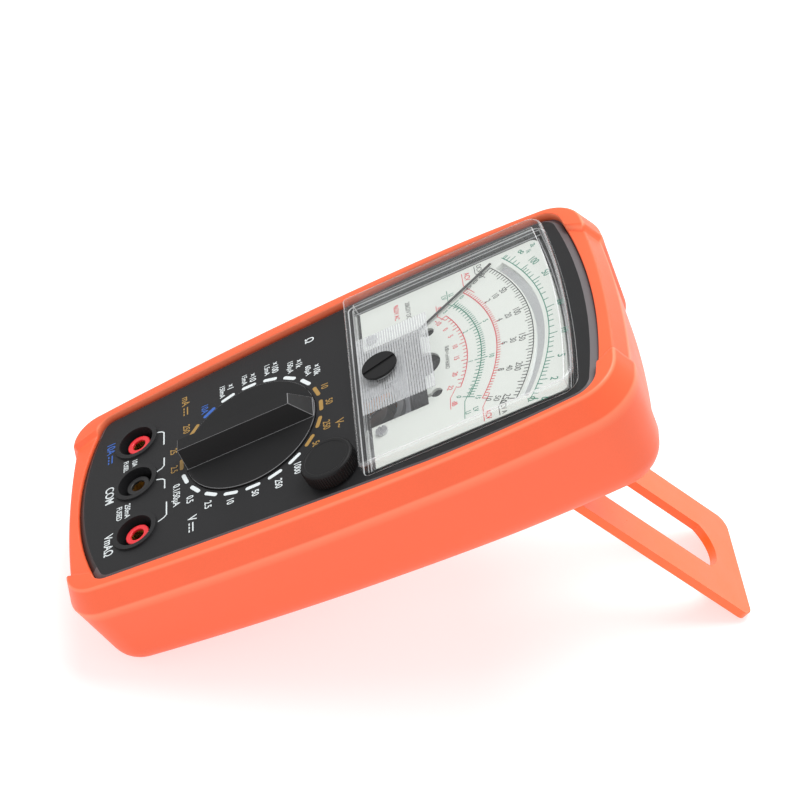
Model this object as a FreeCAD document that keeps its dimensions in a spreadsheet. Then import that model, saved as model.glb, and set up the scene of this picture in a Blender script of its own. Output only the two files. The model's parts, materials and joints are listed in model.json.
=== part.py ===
import FreeCAD, Part
import Sketcher
import math
import os
import re

from FreeCAD import Placement, Rotation, Vector

# A pocket analogue multimeter in a rubber holster, propped up on its tilt stand.
#
# Every piece is drawn in the meter's own axes: X to the reader's right, Y up the face, Z out of the face,
# with the origin on the panel at the middle of the range dial. stand_up() then tilts the whole meter onto its
# lower edge and the stand's foot, and puts the origin at the middle of the floor under it.

# ---------------------------------------------------------------- driving sizes, in millimetres and degrees

SIZES = {
    # case, seen from the front
    "case_low_half": (33.9, "half width at the lower corners"),
    "case_low_y": (-47.0, "height of the lower corners"),
    "case_low_end": (-54.4, "lower end on the centre line"),
    "case_mid_half": (38.4, "half width beside the dial"),
    "case_mid_y": (10.0, "height of that width"),
    "case_wide_half": (41.2, "half width where the side turns"),
    "case_wide_y": (50.0, "height of that width"),
    "case_scale_half": (41.35, "half width beside the scale"),
    "case_scale_y": (64.0, "height of that width"),
    "case_top_half": (39.6, "half width at the upper corners"),
    "case_top_y": (96.5, "height of the upper corners"),
    "case_top_end": (101.2, "upper end on the centre line"),
    "case_low_round": (5.0, "lower corner radius"),
    "case_top_round": (7.0, "upper corner radius"),
    "case_shoulder": (0.9, "shoulder that the holster's lip holds"),
    "shoulder_z": (-2.0, "height of the shoulder"),
    "case_split": (-14.0, "joint between the two case halves"),
    "case_back": (-26.6, "back of the rear case"),
    "case_wall": (2.2, "case wall"),
    "rim_bevel": (1.9, "bevel round the panel, across"),
    "rim_drop": (1.2, "bevel round the panel, down"),
    "back_round": (3.0, "rounding of the rear case"),
    # holster
    "holster_low_half": (38.2, "half width at the lower corners"),
    "holster_low_y": (-58.0, "height of the lower corners"),
    "holster_low_end": (-60.9, "lower end on the centre line"),
    "holster_mid_half": (45.0, "half width beside the dial"),
    "holster_wide_half": (46.5, "half width where the side turns"),
    "holster_scale_half": (46.5, "half width beside the scale"),
    "holster_top_half": (43.6, "half width at the upper corners"),
    "holster_top_y": (104.8, "height of the upper corners"),
    "holster_top_end": (108.3, "upper end on the centre line"),
    "holster_low_round": (12.0, "lower corner radius"),
    "holster_top_round": (15.0, "upper corner radius"),
    "holster_rim": (1.2, "rim above the panel"),
    "rim_slope_in": (3.0, "slope outside the rim, across"),
    "rim_slope_down": (7.2, "slope outside the rim, down"),
    "back_low_y": (-50.0, "lower place where the back is measured"),
    "back_low_z": (-32.5, "back there"),
    "back_high_y": (100.0, "upper place where the back is measured"),
    "back_high_z": (-36.3, "back there"),
    "holster_back_round": (9.0, "rounding round the back"),
    "crease_z": (-6.0, "crease under the rim's slope"),
    "wall_draft": (6.5, "draft of the walls below the crease"),
    "notch_half": (27.5, "half length of the lower stretch of each end rim"),
    "notch_drop": (1.4, "how much lower it is"),
    "end_hollow": (1.2, "how far the end walls stand back between the corners"),
    "lip_z": (-1.85, "underside of the holding lip"),
    "fit_gap": (0.2, "room between case and holster"),
    # tilt stand
    "stand_half": (20.9, "half width of the stand"),
    "stand_thick": (2.6, "thickness of the stand"),
    "tilt": (28.8, "how far the standing meter leans back from flat"),
    "stand_lean": (67.56, "angle of the open stand below the meter's Y axis"),
    "hinge_y": (66.0, "stand's hinge axis"),
    "hinge_z": (-33.3, "stand's hinge axis"),
    "trunnion_r": (1.3, "stand's trunnions"),
    "trunnion_reach": (24.8, "end of each trunnion"),
    "trunnion_gap": (0.06, "running clearance of the trunnions"),
    "barrel_r": (1.6, "round hinge edge of the stand"),
    "window_half": (8.8, "half width of the stand's window"),
    "window_start": (13.0, "window's hinge end"),
    "window_margin": (10.0, "from the foot to the window"),
    "foot_round": (4.0, "foot corner radius"),
    "pocket_depth": (3.9, "depth of the stand's pocket in the back"),
    "pocket_gap": (1.2, "room beside the stand"),
    "pocket_end": (68.6, "upper end of the pocket, the stand's stop"),
    "pocket_tip": (-30.0, "lower end of the pocket, with room for a finger"),
    # window cover and scale
    "cover_half": (36.7, "half width of the window cover"),
    "cover_low": (32.1, "lower edge"),
    "cover_side_top": (92.6, "where the upper corners are"),
    "cover_top": (95.1, "upper edge on the centre line"),
    "cover_high": (4.34, "height above the panel"),
    "cover_wall": (1.6, "thickness of the cover"),
    "cover_round": (5.0, "corner radius"),
    "skirt": (1.4, "how far the locating skirt stands in"),
    "opening_gap": (0.12, "room round the skirt"),
    "dial_z": (-1.13, "face of the scale plate"),
    "dial_thick": (0.8, "thickness of the scale plate"),
    "dial_inset": (3.0, "scale plate inside the cover's outline"),
    "mirror_inner": (54.8, "inner radius of the mirror slot"),
    "mirror_outer": (57.5, "outer radius of the mirror slot"),
    "mirror_half_angle": (31.0, "half angle of the mirror slot"),
    "cutout_half": (16.6, "half width of the cut-out over the movement"),
    "cutout_top": (51.9, "its upper edge"),
    "cutout_bay_r": (4.9, "round bay in that edge"),
    "keyhole_r": (1.7, "eye of the keyholes on both sides of the bay"),
    "keyhole_neck": (1.2, "width of their necks"),
    "keyhole_reach": (2.6, "centre of their eyes above the edge"),
    # moving-coil movement
    "pivot_x": (0.4, "needle's axis"),
    "pivot_y": (29.6, "needle's axis"),
    "needle_rest": (33.5, "resting needle, turned left from straight up"),
    "needle_reach": (55.2, "needle tip from the axis"),
    "yoke_r": (12.5, "soft-iron yoke"),
    "yoke_bore": (10.6, "its bore"),
    "yoke_top": (-9.0, "front face of the yoke"),
    "yoke_base": (-19.5, "back face of the yoke"),
    "core_r": (7.4, "magnet core"),
    "jewel_r": (1.8, "jewel screws"),
    "staff_r": (0.5, "pivot staffs"),
    "staff_gap": (0.05, "clearance of the staffs in the jewels"),
    "hairspring_inner": (0.62, "inner end of a hairspring"),
    "hairspring_pitch": (0.45, "growth of its radius in a turn"),
    "hairspring_thick": (0.14, "its strip, thickness"),
    "hairspring_wide": (0.3, "its strip, width"),
    "adjust_y": (41.45, "zero adjuster's axis"),
    "adjust_head_r": (5.1, "head of the zero adjuster"),
    "adjust_shank_r": (3.0, "shank of the zero adjuster"),
    "adjust_throw": (1.6, "offset of its pin"),
    "adjust_pin_r": (0.8, "its pin"),
    "adjust_slot_turn": (18.0, "screwdriver slot, turned left from straight up"),
    # range selector
    "knob_r": (19.9, "disc of the selector knob"),
    "knob_top": (0.6, "top of the disc"),
    "knob_sink": (0.45, "how far the disc sits in the panel"),
    "bar_base_half": (4.0, "half width of the grip bar at the disc"),
    "bar_top_half": (2.25, "half width of the grip bar on top"),
    "bar_top": (6.6, "height of the grip bar"),
    "bar_half": (19.4, "half length of the grip bar"),
    "prow_top": (14.7, "where the bar's pointed end starts down"),
    "hub_r": (6.0, "knob's hub"),
    "hub_gap": (0.06, "running clearance of the hub"),
    "rotor_r": (15.4, "rotor under the panel"),
    "rotor_top": (-3.0, "top of the rotor"),
    "rotor_base": (-6.8, "underside of the rotor"),
    "ring_bore": (15.6, "bore of the detent ring"),
    "ring_r": (17.9, "detent ring"),
    "ball_r": (1.5, "detent balls"),
    "ball_at": (14.0, "ball centres from the dial's axis, drawn in between two notches"),
    "notch_at": (15.0, "notch centres from the dial's axis"),
    "ball_z": (-4.9, "ball centres"),
    "notch_r": (1.75, "notches in the detent ring"),
    "positions": (20.0, "switch positions"),
    # zero-ohm wheel
    "wheel_x": (28.6, "zero-ohm wheel's axis"),
    "wheel_y": (23.7, "zero-ohm wheel's axis"),
    "wheel_r": (7.65, "zero-ohm wheel"),
    "wheel_top": (4.9, "top of the wheel"),
    "wheel_base": (0.35, "underside of the wheel"),
    "wheel_shaft_r": (3.0, "its shaft"),
    "pot_r": (7.4, "adjuster's body"),
    # sockets
    "socket_y": (-36.0, "row of sockets"),
    "socket_left_x": (-18.4, "high-current socket"),
    "socket_mid_x": (-0.7, "common socket"),
    "socket_right_x": (19.6, "volt, ohm and milliamp socket"),
    "well_r": (5.35, "well round each socket"),
    "well_rim_r": (6.7, "raised rim of each well"),
    "well_rim_top": (0.6, "height of that rim"),
    "well_floor": (-9.0, "floor of the wells"),
    "collar_r": (3.5, "insulating collar"),
    "collar_top": (-1.1, "face of the collar"),
    "sleeve_r": (2.6, "brass sleeve"),
    "sleeve_top": (-1.9, "mouth of the sleeve"),
    "sleeve_base": (-20.0, "closed end of the sleeve"),
    "jack_r": (2.0, "bore for a 4 mm plug"),
    "jack_end": (-19.0, "bottom of the bore"),
    # circuit board and what is on it
    "board_half": (31.5, "half width of the board"),
    "board_low": (-45.0, "lower edge"),
    "board_high": (13.6, "upper edge"),
    "board_corner_x": (9.0, "corner cut off beside a case post, across"),
    "board_corner_y": (16.0, "corner cut off beside a case post, up"),
    "board_top": (-10.6, "front of the board"),
    "board_base": (-12.2, "back of the board"),
    "boss_r": (2.6, "board's screw posts"),
    "board_screw_r": (1.0, "board screws"),
    "case_boss_r": (3.2, "case's screw posts"),
    "case_screw_r": (1.1, "case screws"),
    # batteries
    "cell_r": (7.25, "penlight cell"),
    "cell_low": (45.6, "its flat end"),
    "cell_high": (95.1, "its shoulder"),
    "cell_z": (-15.6, "its axis"),
    "cell_left_x": (-25.0, "first cell"),
    "cell_right_x": (-10.0, "second cell"),
    "block_left": (-0.9, "square battery, left side"),
    "block_right": (25.6, "square battery, right side"),
    "block_low": (46.0, "square battery, lower end"),
    "block_high": (94.5, "square battery, upper end"),
    "block_front": (-5.4, "square battery, front"),
    "tray_floor": (-22.95, "floor that the batteries lie on"),
    "inner_back": (-24.6, "inside of the rear case"),
}

doc = FreeCAD.newDocument("Multimeter")
sheet = doc.addObject("Spreadsheet::Sheet", "Sizes")
for row, (alias, (value, note)) in enumerate(SIZES.items(), start=1):
    sheet.set(f"A{row}", note)
    sheet.set(f"B{row}", str(value))
    sheet.setAlias(f"B{row}", alias)
doc.recompute()


def size(alias):
    return float(sheet.get(alias))


def rule(text):
    """Turn a formula in plain size names into one that points at the sheet."""
    return re.sub(r"[a-z][a-z_]+", lambda word: "Sizes." + word[0] if word[0] in SIZES else word[0], str(text))


def bind(item, **formulas):
    for path, formula in formulas.items():
        item.setExpression(path.replace("__", "."), rule(formula))
    return item


# ---------------------------------------------------------------- primitives, booleans and nodes

nodes = []


def rod(name, radius, low, high, x="0", y="0"):
    """Round bar along Z from low to high."""
    bar = doc.addObject("Part::Cylinder", name)
    return bind(bar, Radius=radius, Height=f"({high}) - ({low})", Placement__Base__x=x, Placement__Base__y=y,
                Placement__Base__z=low)


def cross_rod(name, radius, start, end, y, z):
    """Round bar along X from start to end."""
    bar = doc.addObject("Part::Cylinder", name)
    bar.Placement = Placement(Vector(), Rotation(Vector(0, 1, 0), 90))
    return bind(bar, Radius=radius, Height=f"({end}) - ({start})", Placement__Base__x=start,
                Placement__Base__y=y, Placement__Base__z=z)


def long_rod(name, radius, start, end, x, z):
    """Round bar along Y from start to end."""
    bar = doc.addObject("Part::Cylinder", name)
    bar.Placement = Placement(Vector(), Rotation(Vector(1, 0, 0), -90))
    return bind(bar, Radius=radius, Height=f"({end}) - ({start})", Placement__Base__x=x,
                Placement__Base__y=start, Placement__Base__z=z)


def block(name, x, y, z):
    """Box between the low and high formulas of each axis."""
    box = doc.addObject("Part::Box", name)
    return bind(box, Length=f"({x[1]}) - ({x[0]})", Width=f"({y[1]}) - ({y[0]})", Height=f"({z[1]}) - ({z[0]})",
                Placement__Base__x=x[0], Placement__Base__y=y[0], Placement__Base__z=z[0])


def fuse(name, *items):
    joined = doc.addObject("Part::MultiFuse", name)
    joined.Shapes = list(items)
    return joined


def cut(name, base, *tools):
    result = doc.addObject("Part::Cut", name)
    result.Base = base
    result.Tool = tools[0] if len(tools) == 1 else fuse(name + "_tools", *tools)
    return result


def common(name, one, other):
    result = doc.addObject("Part::Common", name)
    result.Base, result.Tool = one, other
    return result


def group(name, items):
    """Like pieces that are the same part, kept as separate solids of one node."""
    bunch = doc.addObject("Part::Compound", name)
    bunch.Links = list(items)
    return bunch


def node(label, item, local=None):
    """Name a sub-part; local places a piece that was drawn about its own axis."""
    item.Label = label
    nodes.append((item, local or Placement()))
    return item


# ---------------------------------------------------------------- sketches and bodies


def body_named(name):
    return doc.addObject("PartDesign::Body", name + "_body")


def chain(start, *steps):
    """Closed loop of edges: a step is (x, y) for a line or ((x, y) through, (x, y) end) for an arc."""
    edges = []
    here = Vector(*start, 0)
    for step in steps:
        if isinstance(step[0], tuple):
            through, end = (Vector(*point, 0) for point in step)
            edges.append(Part.Arc(here, through, end))
        else:
            end = Vector(*step, 0)
            edges.append(Part.LineSegment(here, end))
        here = end
    return edges


def rectangle(left, right, low, high):
    return chain((left, low), (right, low), (right, high), (left, high), (left, low))


def sketch(body, name, loops=(), circles=(), plane="XY_Plane", lift="0"):
    """Sketch on one of the body's own planes; a circle is (x, y, radius formula)."""
    drawing = body.newObject("Sketcher::SketchObject", name)
    drawing.AttachmentSupport = [(next(f for f in body.Origin.OriginFeatures if f.Role == plane), "")]
    drawing.MapMode = "FlatFace"
    drawing.setExpression("AttachmentOffset.Base.z", rule(lift))
    for loop in loops:
        first = drawing.addGeometry(loop)[0]
        for index in range(len(loop)):
            drawing.addConstraint(Sketcher.Constraint("Block", first + index))
    for x, y, radius in circles:
        index = drawing.addGeometry(Part.Circle(Vector(x, y, 0), Vector(0, 0, 1), 1.0))
        number = drawing.addConstraint(Sketcher.Constraint("Radius", index, 1.0))
        drawing.setExpression(f"Constraints[{number}]", rule(radius))
    return drawing


def extrude(kind, body, drawing, length, up=True, sides="One side"):
    feature = body.newObject(f"PartDesign::{kind}", drawing.Name + "_" + kind.lower())
    feature.Profile = drawing
    feature.SideType = sides
    feature.Reversed = not up if kind == "Pad" else up
    feature.setExpression("Length", rule(length))
    doc.recompute()
    return feature


def pad(body, drawing, length, up=True, sides="One side"):
    return extrude("Pad", body, drawing, length, up, sides)


def pocket(body, drawing, length, up=True, sides="One side"):
    """Remove material; it has to take something away."""
    before = body.Shape.Volume
    feature = extrude("Pocket", body, drawing, length, up, sides)
    if body.Shape.Volume > before - 1e-6:
        raise ValueError(drawing.Name + " cuts nothing")
    return feature


def edges_of(shape, wanted):
    return [f"Edge{index}" for index, edge in enumerate(shape.Edges, start=1) if wanted(edge)]


def dress(kind, body, wanted, **values):
    """Fillet or chamfer the edges of the body's last feature that wanted accepts."""
    tip = body.Tip
    feature = body.newObject(f"PartDesign::{kind}", f"{body.Name}_{kind}_{len(body.Group)}")
    feature.Base = (tip, edges_of(tip.Shape, wanted))
    if "Size2" in values:
        feature.ChamferType = "Two distances"
    for name, formula in values.items():
        feature.setExpression(name, rule(formula))
    doc.recompute()
    return feature


def upright_near(half, height, least_rise=0.3, reach=4.0):
    """Edges that stand near (+-half, height), upright or drafted."""

    def wanted(edge):
        low, high = sorted((vertex.Point for vertex in edge.Vertexes), key=lambda point: point.z)
        rise, run = high.z - low.z, math.hypot(low.x - high.x, low.y - high.y)
        upright = len(edge.Vertexes) == 2 and rise > least_rise and run < 0.3 * rise
        return upright and math.hypot(abs(high.x) - half, high.y - height) < reach

    return wanted


def level(height):
    """Edges that lie wholly at one height."""
    return lambda edge: abs(edge.BoundBox.ZMin - height) < 1e-4 and abs(edge.BoundBox.ZMax - height) < 1e-4


def shell_outline(which, grow=0.0):
    """Plan of the case or the holster: bowed ends and sides that widen towards the scale."""
    low_half, low_y = size(which + "_low_half") + grow, size(which + "_low_y") - grow
    top_half, top_y = size(which + "_top_half") + grow, size(which + "_top_y") + grow
    low_end, top_end = size(which + "_low_end") - grow, size(which + "_top_end") + grow
    mid = (size(which + "_mid_half") + grow, size("case_mid_y"))
    wide = (size(which + "_wide_half") + grow, size("case_wide_y"))
    scale = (size(which + "_scale_half") + grow, size("case_scale_y"))
    return chain(
        (-low_half, low_y),
        ((0, low_end), (low_half, low_y)),
        (mid, wide),
        (scale, (top_half, top_y)),
        ((0, top_end), (-top_half, top_y)),
        ((-scale[0], scale[1]), (-wide[0], wide[1])),
        ((-mid[0], mid[1]), (-low_half, low_y)),
    )


def round_corners(body, which, grow, low_round, top_round):
    for corner, radius in (("low", low_round), ("top", top_round)):
        half, height = size(f"{which}_{corner}_half"), size(f"{which}_{corner}_y")
        outward = grow if corner == "top" else -grow
        edges = upright_near(half + grow, height + outward, least_rise=5.0 if grow else 0.3)
        dress("Fillet", body, edges, Radius=radius)


def back_at(y):
    """Height of the holster's sloping back at y."""
    low_y, low_z = size("back_low_y"), size("back_low_z")
    slope = (size("back_high_z") - low_z) / (size("back_high_y") - low_y)
    return low_z + slope * (y - low_y)


# ---------------------------------------------------------------- holster and tilt stand


def make_holster():
    body = body_named("holster")
    rim = size("holster_rim")
    walls = pad(body, sketch(body, "holster_walls", [shell_outline("holster")], lift="crease_z"), "40", up=False)
    walls.TaperAngle = -size("wall_draft")
    pad(body, sketch(body, "holster_plan", [shell_outline("holster")], lift="crease_z"), "holster_rim - crease_z")
    round_corners(body, "holster", 0.0, "holster_low_round", "holster_top_round")
    low, high, deep = -80.0, 130.0, -60.0
    under = chain((low, back_at(low)), (high, back_at(high)), (high, deep), (low, deep), (low, back_at(low)))
    pocket(body, sketch(body, "holster_underside", [under], plane="YZ_Plane"), "140", sides="Symmetric")
    dress("Chamfer", body, level(rim), Size="rim_slope_in", Size2="rim_slope_down")
    dress("Fillet", body, lambda edge: edge.BoundBox.ZMax < back_at(edge.CenterOfMass.y) + 1.0,
          Radius="holster_back_round")
    half = size("notch_half")
    for end, outer, inner in (("top", 120.0, 80.0), ("low", -75.0, -40.0)):
        arc_end = size(f"holster_{end}_end") - math.copysign(size("end_hollow"), outer)
        corner_y, corner_half = size(f"holster_{end}_y"), size(f"holster_{end}_half")
        bow = (size(f"holster_{end}_end") - corner_y) * (half / corner_half) ** 2
        side_y = arc_end - bow
        hollow = chain((-half, side_y), ((0, arc_end), (half, side_y)), (half, outer), (-half, outer),
                       (-half, side_y))
        pocket(body, sketch(body, f"{end}_hollow", [hollow], lift="holster_rim"), "60", up=False)
        notch = rectangle(-half, half, min(outer, inner), max(outer, inner))
        pocket(body, sketch(body, f"{end}_notch", [notch], lift="holster_rim"), "notch_drop", up=False)
    room = size("case_shoulder") + size("fit_gap")
    pocket(body, sketch(body, "case_room", [shell_outline("case", room)], lift="lip_z"),
           "lip_z - case_back + fit_gap", up=False)
    pocket(body, sketch(body, "face_opening", [shell_outline("case", size("fit_gap"))], lift="lip_z"),
           "10", up=True)
    top, tip, depth = size("pocket_end"), size("pocket_tip"), size("pocket_depth")
    bay = chain((tip, deep), (top, deep), (top, back_at(top) + depth), (tip, back_at(tip) + depth), (tip, deep))
    pocket(body, sketch(body, "stand_bay", [bay], plane="YZ_Plane"), "2 * (stand_half + pocket_gap)",
           sides="Symmetric")
    hinge = (size("hinge_y"), size("hinge_z"), "trunnion_r + trunnion_gap")
    pocket(body, sketch(body, "hinge_bore", circles=[hinge], plane="YZ_Plane"), "2 * trunnion_reach + 1",
           sides="Symmetric")
    node("holster", body)


def stand_length():
    """Hinge to foot, so that the foot and the holster's lower back edge stand on one floor."""
    lean, tilt = math.radians(size("stand_lean")), math.radians(size("tilt"))
    floor = lowest_edge_height()
    hinge = size("hinge_y") * math.sin(tilt) + size("hinge_z") * math.cos(tilt)
    fall = math.sin(lean - tilt)
    half_thick = size("stand_thick") / 2 * math.cos(lean - tilt)
    return (hinge - floor - half_thick) / fall


def lowest_edge_height():
    """Height, once tilted, of the holster's lowest line: the rounding between its lower end and its back."""
    tilt, radius = math.radians(size("tilt")), size("holster_back_round")
    slope = math.atan((size("back_low_z") - size("back_high_z")) / (size("back_high_y") - size("back_low_y")))
    draft = math.radians(size("wall_draft"))
    end = size("holster_low_end")
    low_z = back_at(end) + radius
    for settle in range(20):
        low_y = end + math.tan(draft) * (size("crease_z") - low_z) + radius / math.cos(draft)
        low_z = back_at(low_y) + radius / math.cos(slope)
    return low_y * math.sin(tilt) + low_z * math.cos(tilt) - radius



def make_tilt_stand():
    body = body_named("tilt_stand")
    half, length, thick = size("stand_half"), stand_length(), size("stand_thick")
    pad(body, sketch(body, "stand_plate", [rectangle(-half, half, 0, length)]), "stand_thick", sides="Symmetric")
    dress("Fillet", body, upright_near(half, length), Radius="foot_round")
    inner, start, end = size("window_half"), size("window_start"), length - size("window_margin")
    bow = 5.0
    window = chain((-inner, start), (inner, start), (inner, end - bow), ((0, end), (-inner, end - bow)),
                   (-inner, start))
    pocket(body, sketch(body, "stand_window", [window]), "2 * stand_thick", sides="Symmetric")
    pad(body, sketch(body, "stand_barrel", circles=[(0, 0, "barrel_r")], plane="YZ_Plane"), "2 * stand_half",
        sides="Symmetric")
    pad(body, sketch(body, "stand_trunnions", circles=[(0, 0, "trunnion_r")], plane="YZ_Plane"),
        "2 * trunnion_reach", sides="Symmetric")
    lean = Rotation(Vector(1, 0, 0), -size("stand_lean"))
    node("tilt_stand", body, Placement(Vector(0, size("hinge_y"), size("hinge_z")), lean))


# ---------------------------------------------------------------- case halves and their screws

CASE_SCREWS = [(-30.2, -42.0), (30.2, -42.0), (-35.6, 94.9), (35.6, 94.9)]
BOARD_SCREWS = [(-27.3, -9.0), (27.3, -9.0), (9.5, -41.5)]


def sockets():
    return [(size(f"socket_{place}_x"), size("socket_y")) for place in ("left", "mid", "right")]


def cover_outline(inset=0.0):
    """Plan of the window cover: square below, bowed above."""
    half, low = size("cover_half") - inset, size("cover_low") + inset
    side_top, top = size("cover_side_top") - inset, size("cover_top") - inset
    return chain((-half, low), (half, low), (half, side_top), ((0, top), (-half, side_top)), (-half, low))


def make_front_case():
    body = body_named("front_case")
    shoulder, wall = size("case_shoulder"), size("case_wall")
    pad(body, sketch(body, "panel_plan", [shell_outline("case")]), "case_wall + 3", up=False)
    round_corners(body, "case", 0.0, "case_low_round", "case_top_round")
    dress("Chamfer", body, level(0.0), Size="rim_bevel", Size2="rim_drop")
    pad(body, sketch(body, "front_plan", [shell_outline("case", shoulder)], lift="shoulder_z"),
        "shoulder_z - case_split", up=False)
    round_corners(body, "case", shoulder, "case_low_round + case_shoulder", "case_top_round + case_shoulder")
    inside = shell_outline("case", shoulder - wall)
    pocket(body, sketch(body, "front_inside", [inside], lift="-case_wall"), "30", up=False)
    skirt = size("skirt") - size("opening_gap")
    pocket(body, sketch(body, "window_opening", [cover_outline(skirt)], lift="1"), "6", up=False)
    pocket(body, sketch(body, "knob_seat", circles=[(0, 0, "knob_r + 0.3")]), "knob_sink + 0.15", up=False)
    wells = [(x, y, "well_rim_r") for x, y in sockets()]
    pad(body, sketch(body, "well_cups", circles=wells, lift="well_rim_top"), "well_rim_top - well_floor + 1",
        up=False)
    board_posts = [(x, y, "boss_r") for x, y in BOARD_SCREWS]
    pad(body, sketch(body, "board_posts", circles=board_posts, lift="-case_wall / 2"),
        "-case_wall / 2 - board_top", up=False)
    posts = [(x, y, "case_boss_r") for x, y in CASE_SCREWS]
    pad(body, sketch(body, "case_posts", circles=posts, lift="-case_wall / 2"), "-case_wall / 2 - case_split",
        up=False)
    bores = [(x, y, "well_r") for x, y in sockets()]
    pocket(body, sketch(body, "wells", circles=bores, lift="well_rim_top"), "well_rim_top - well_floor",
           up=False)
    collars = [(x, y, "collar_r") for x, y in sockets()]
    shafts = [(0, 0, "hub_r + hub_gap"), (size("wheel_x"), size("wheel_y"), "wheel_shaft_r + hub_gap")]
    pocket(body, sketch(body, "through_holes", circles=collars + shafts, lift="1"), "20", up=False)
    pilots = [(x, y, "case_screw_r") for x, y in CASE_SCREWS]
    pocket(body, sketch(body, "case_pilots", circles=pilots, lift="case_split"), "7", up=True)
    board_pilots = [(x, y, "board_screw_r") for x, y in BOARD_SCREWS]
    pocket(body, sketch(body, "board_pilots", circles=board_pilots, lift="board_top"), "6.5", up=True)
    node("front_case", body)


def make_rear_case():
    body = body_named("rear_case")
    shoulder, wall = size("case_shoulder"), size("case_wall")
    pad(body, sketch(body, "rear_plan", [shell_outline("case", shoulder)], lift="case_split"),
        "case_split - case_back", up=False)
    round_corners(body, "case", shoulder, "case_low_round + case_shoulder", "case_top_round + case_shoulder")
    dress("Fillet", body, level(size("case_back")), Radius="back_round")
    inside = shell_outline("case", shoulder - wall)
    pocket(body, sketch(body, "rear_inside", [inside], lift="case_split"), "case_split - inner_back", up=False)
    posts = [(x, y, "case_boss_r") for x, y in CASE_SCREWS]
    pad(body, sketch(body, "rear_posts", circles=posts, lift="case_split"), "case_split - inner_back", up=False)
    heads = [(x, y, "2.4") for x, y in CASE_SCREWS]
    pocket(body, sketch(body, "head_sinks", circles=heads, lift="case_back"), "2.2", up=True)
    shanks = [(x, y, "case_screw_r") for x, y in CASE_SCREWS]
    pocket(body, sketch(body, "shank_holes", circles=shanks, lift="case_back"), "20", up=True)
    node("rear_case", body)


def make_screws(label, places, head_r, head_low, head_high, shank_r, shank_end):
    """Pan-head screws driven from the back, their heads towards -Z."""
    screws = []
    for count, (x, y) in enumerate(places, start=1):
        head = rod(f"{label}_head_{count}", head_r, head_low, head_high, x, y)
        shank = rod(f"{label}_shank_{count}", shank_r, head_high, shank_end, x, y)
        slot = block(f"{label}_slot_{count}", (f"{x} - 1.6", f"{x} + 1.6"), (f"{y} - 0.3", f"{y} + 0.3"),
                     (head_low, f"{head_low} + 0.6"))
        screws.append(cut(f"{label}_{count}", fuse(f"{label}_blank_{count}", head, shank), slot))
    node(label, group(label + "_group", screws))


# ---------------------------------------------------------------- window cover, scale plate and mirror


def make_window_cover():
    body = body_named("window_cover")
    pad(body, sketch(body, "cover_plan", [cover_outline()]), "cover_high")
    dress("Fillet", body, upright_near(size("cover_half"), size("cover_low")), Radius="1.5")
    dress("Fillet", body, upright_near(size("cover_half"), size("cover_side_top")), Radius="cover_round")
    dress("Fillet", body, level(size("cover_high")), Radius="1.2")
    pad(body, sketch(body, "cover_skirt", [cover_outline(size("skirt"))]), "dial_thick - dial_z - 0.1", up=False)
    inner = cover_outline(size("skirt") + size("cover_wall") - 0.4)
    pocket(body, sketch(body, "cover_hollow", [inner], lift="-5"), "5 + cover_high - cover_wall", up=True)
    hole = (size("pivot_x"), size("adjust_y"), "adjust_shank_r + hub_gap")
    pocket(body, sketch(body, "adjuster_hole", circles=[hole], lift="cover_high + 1"), "5", up=False)
    node("window_cover", body)


def arc_band(inner, outer, half_angle):
    """Loop of an arc-shaped band about the needle's axis."""
    x0, y0 = size("pivot_x"), size("pivot_y")

    def at(radius, angle):
        return (x0 + radius * math.sin(math.radians(angle)), y0 + radius * math.cos(math.radians(angle)))

    return chain(at(inner, -half_angle), (at(inner, 0), at(inner, half_angle)), at(outer, half_angle),
                 (at(outer, 0), at(outer, -half_angle)), at(inner, -half_angle))


DIAL_SCREWS = [(-19.5, 38.0), (20.3, 38.0)]
KEYHOLES = [-12.8, 13.6]


def make_dial_plate():
    body = body_named("dial_plate")
    plan = sketch(body, "dial_plan", [cover_outline(size("dial_inset"))], lift="dial_z")
    pad(body, plan, "dial_thick", up=False)
    dress("Fillet", body, upright_near(size("cover_half") - size("dial_inset"),
                                       size("cover_side_top") - size("dial_inset")), Radius="2.5")
    slot = arc_band(size("mirror_inner"), size("mirror_outer"), size("mirror_half_angle"))
    pocket(body, sketch(body, "mirror_slot", [slot], lift="dial_z + 1"), "5", up=False)
    middle, half, edge = size("pivot_x"), size("cutout_half"), size("cutout_top")
    opening = rectangle(middle - half, middle + half, size("cover_low"), edge)
    pocket(body, sketch(body, "movement_cutout", [opening], lift="dial_z + 1"), "5", up=False)
    eyes = [(x, edge + size("keyhole_reach"), "keyhole_r") for x in KEYHOLES]
    pocket(body, sketch(body, "keyhole_eyes", circles=eyes, lift="dial_z + 1"), "5", up=False)
    neck = size("keyhole_neck") / 2
    necks = [rectangle(x - neck, x + neck, edge - 1, edge + size("keyhole_reach")) for x in KEYHOLES]
    pocket(body, sketch(body, "keyhole_necks", necks, lift="dial_z + 1"), "5", up=False)
    bay = [(middle, edge, "cutout_bay_r")]
    pocket(body, sketch(body, "cutout_bay", circles=bay, lift="dial_z + 1"), "5", up=False)
    holes = [(x, y, "0.9") for x, y in DIAL_SCREWS]
    pocket(body, sketch(body, "dial_holes", circles=holes, lift="dial_z + 1"), "5", up=False)
    node("dial_plate", body)


def make_mirror_band():
    body = body_named("mirror_band")
    edge = 0.6
    strip = arc_band(size("mirror_inner") - edge, size("mirror_outer") + edge, size("mirror_half_angle") + edge)
    pad(body, sketch(body, "mirror_strip", [strip], lift="dial_z - dial_thick"), "0.4", up=False)
    node("mirror_band", body)


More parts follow.
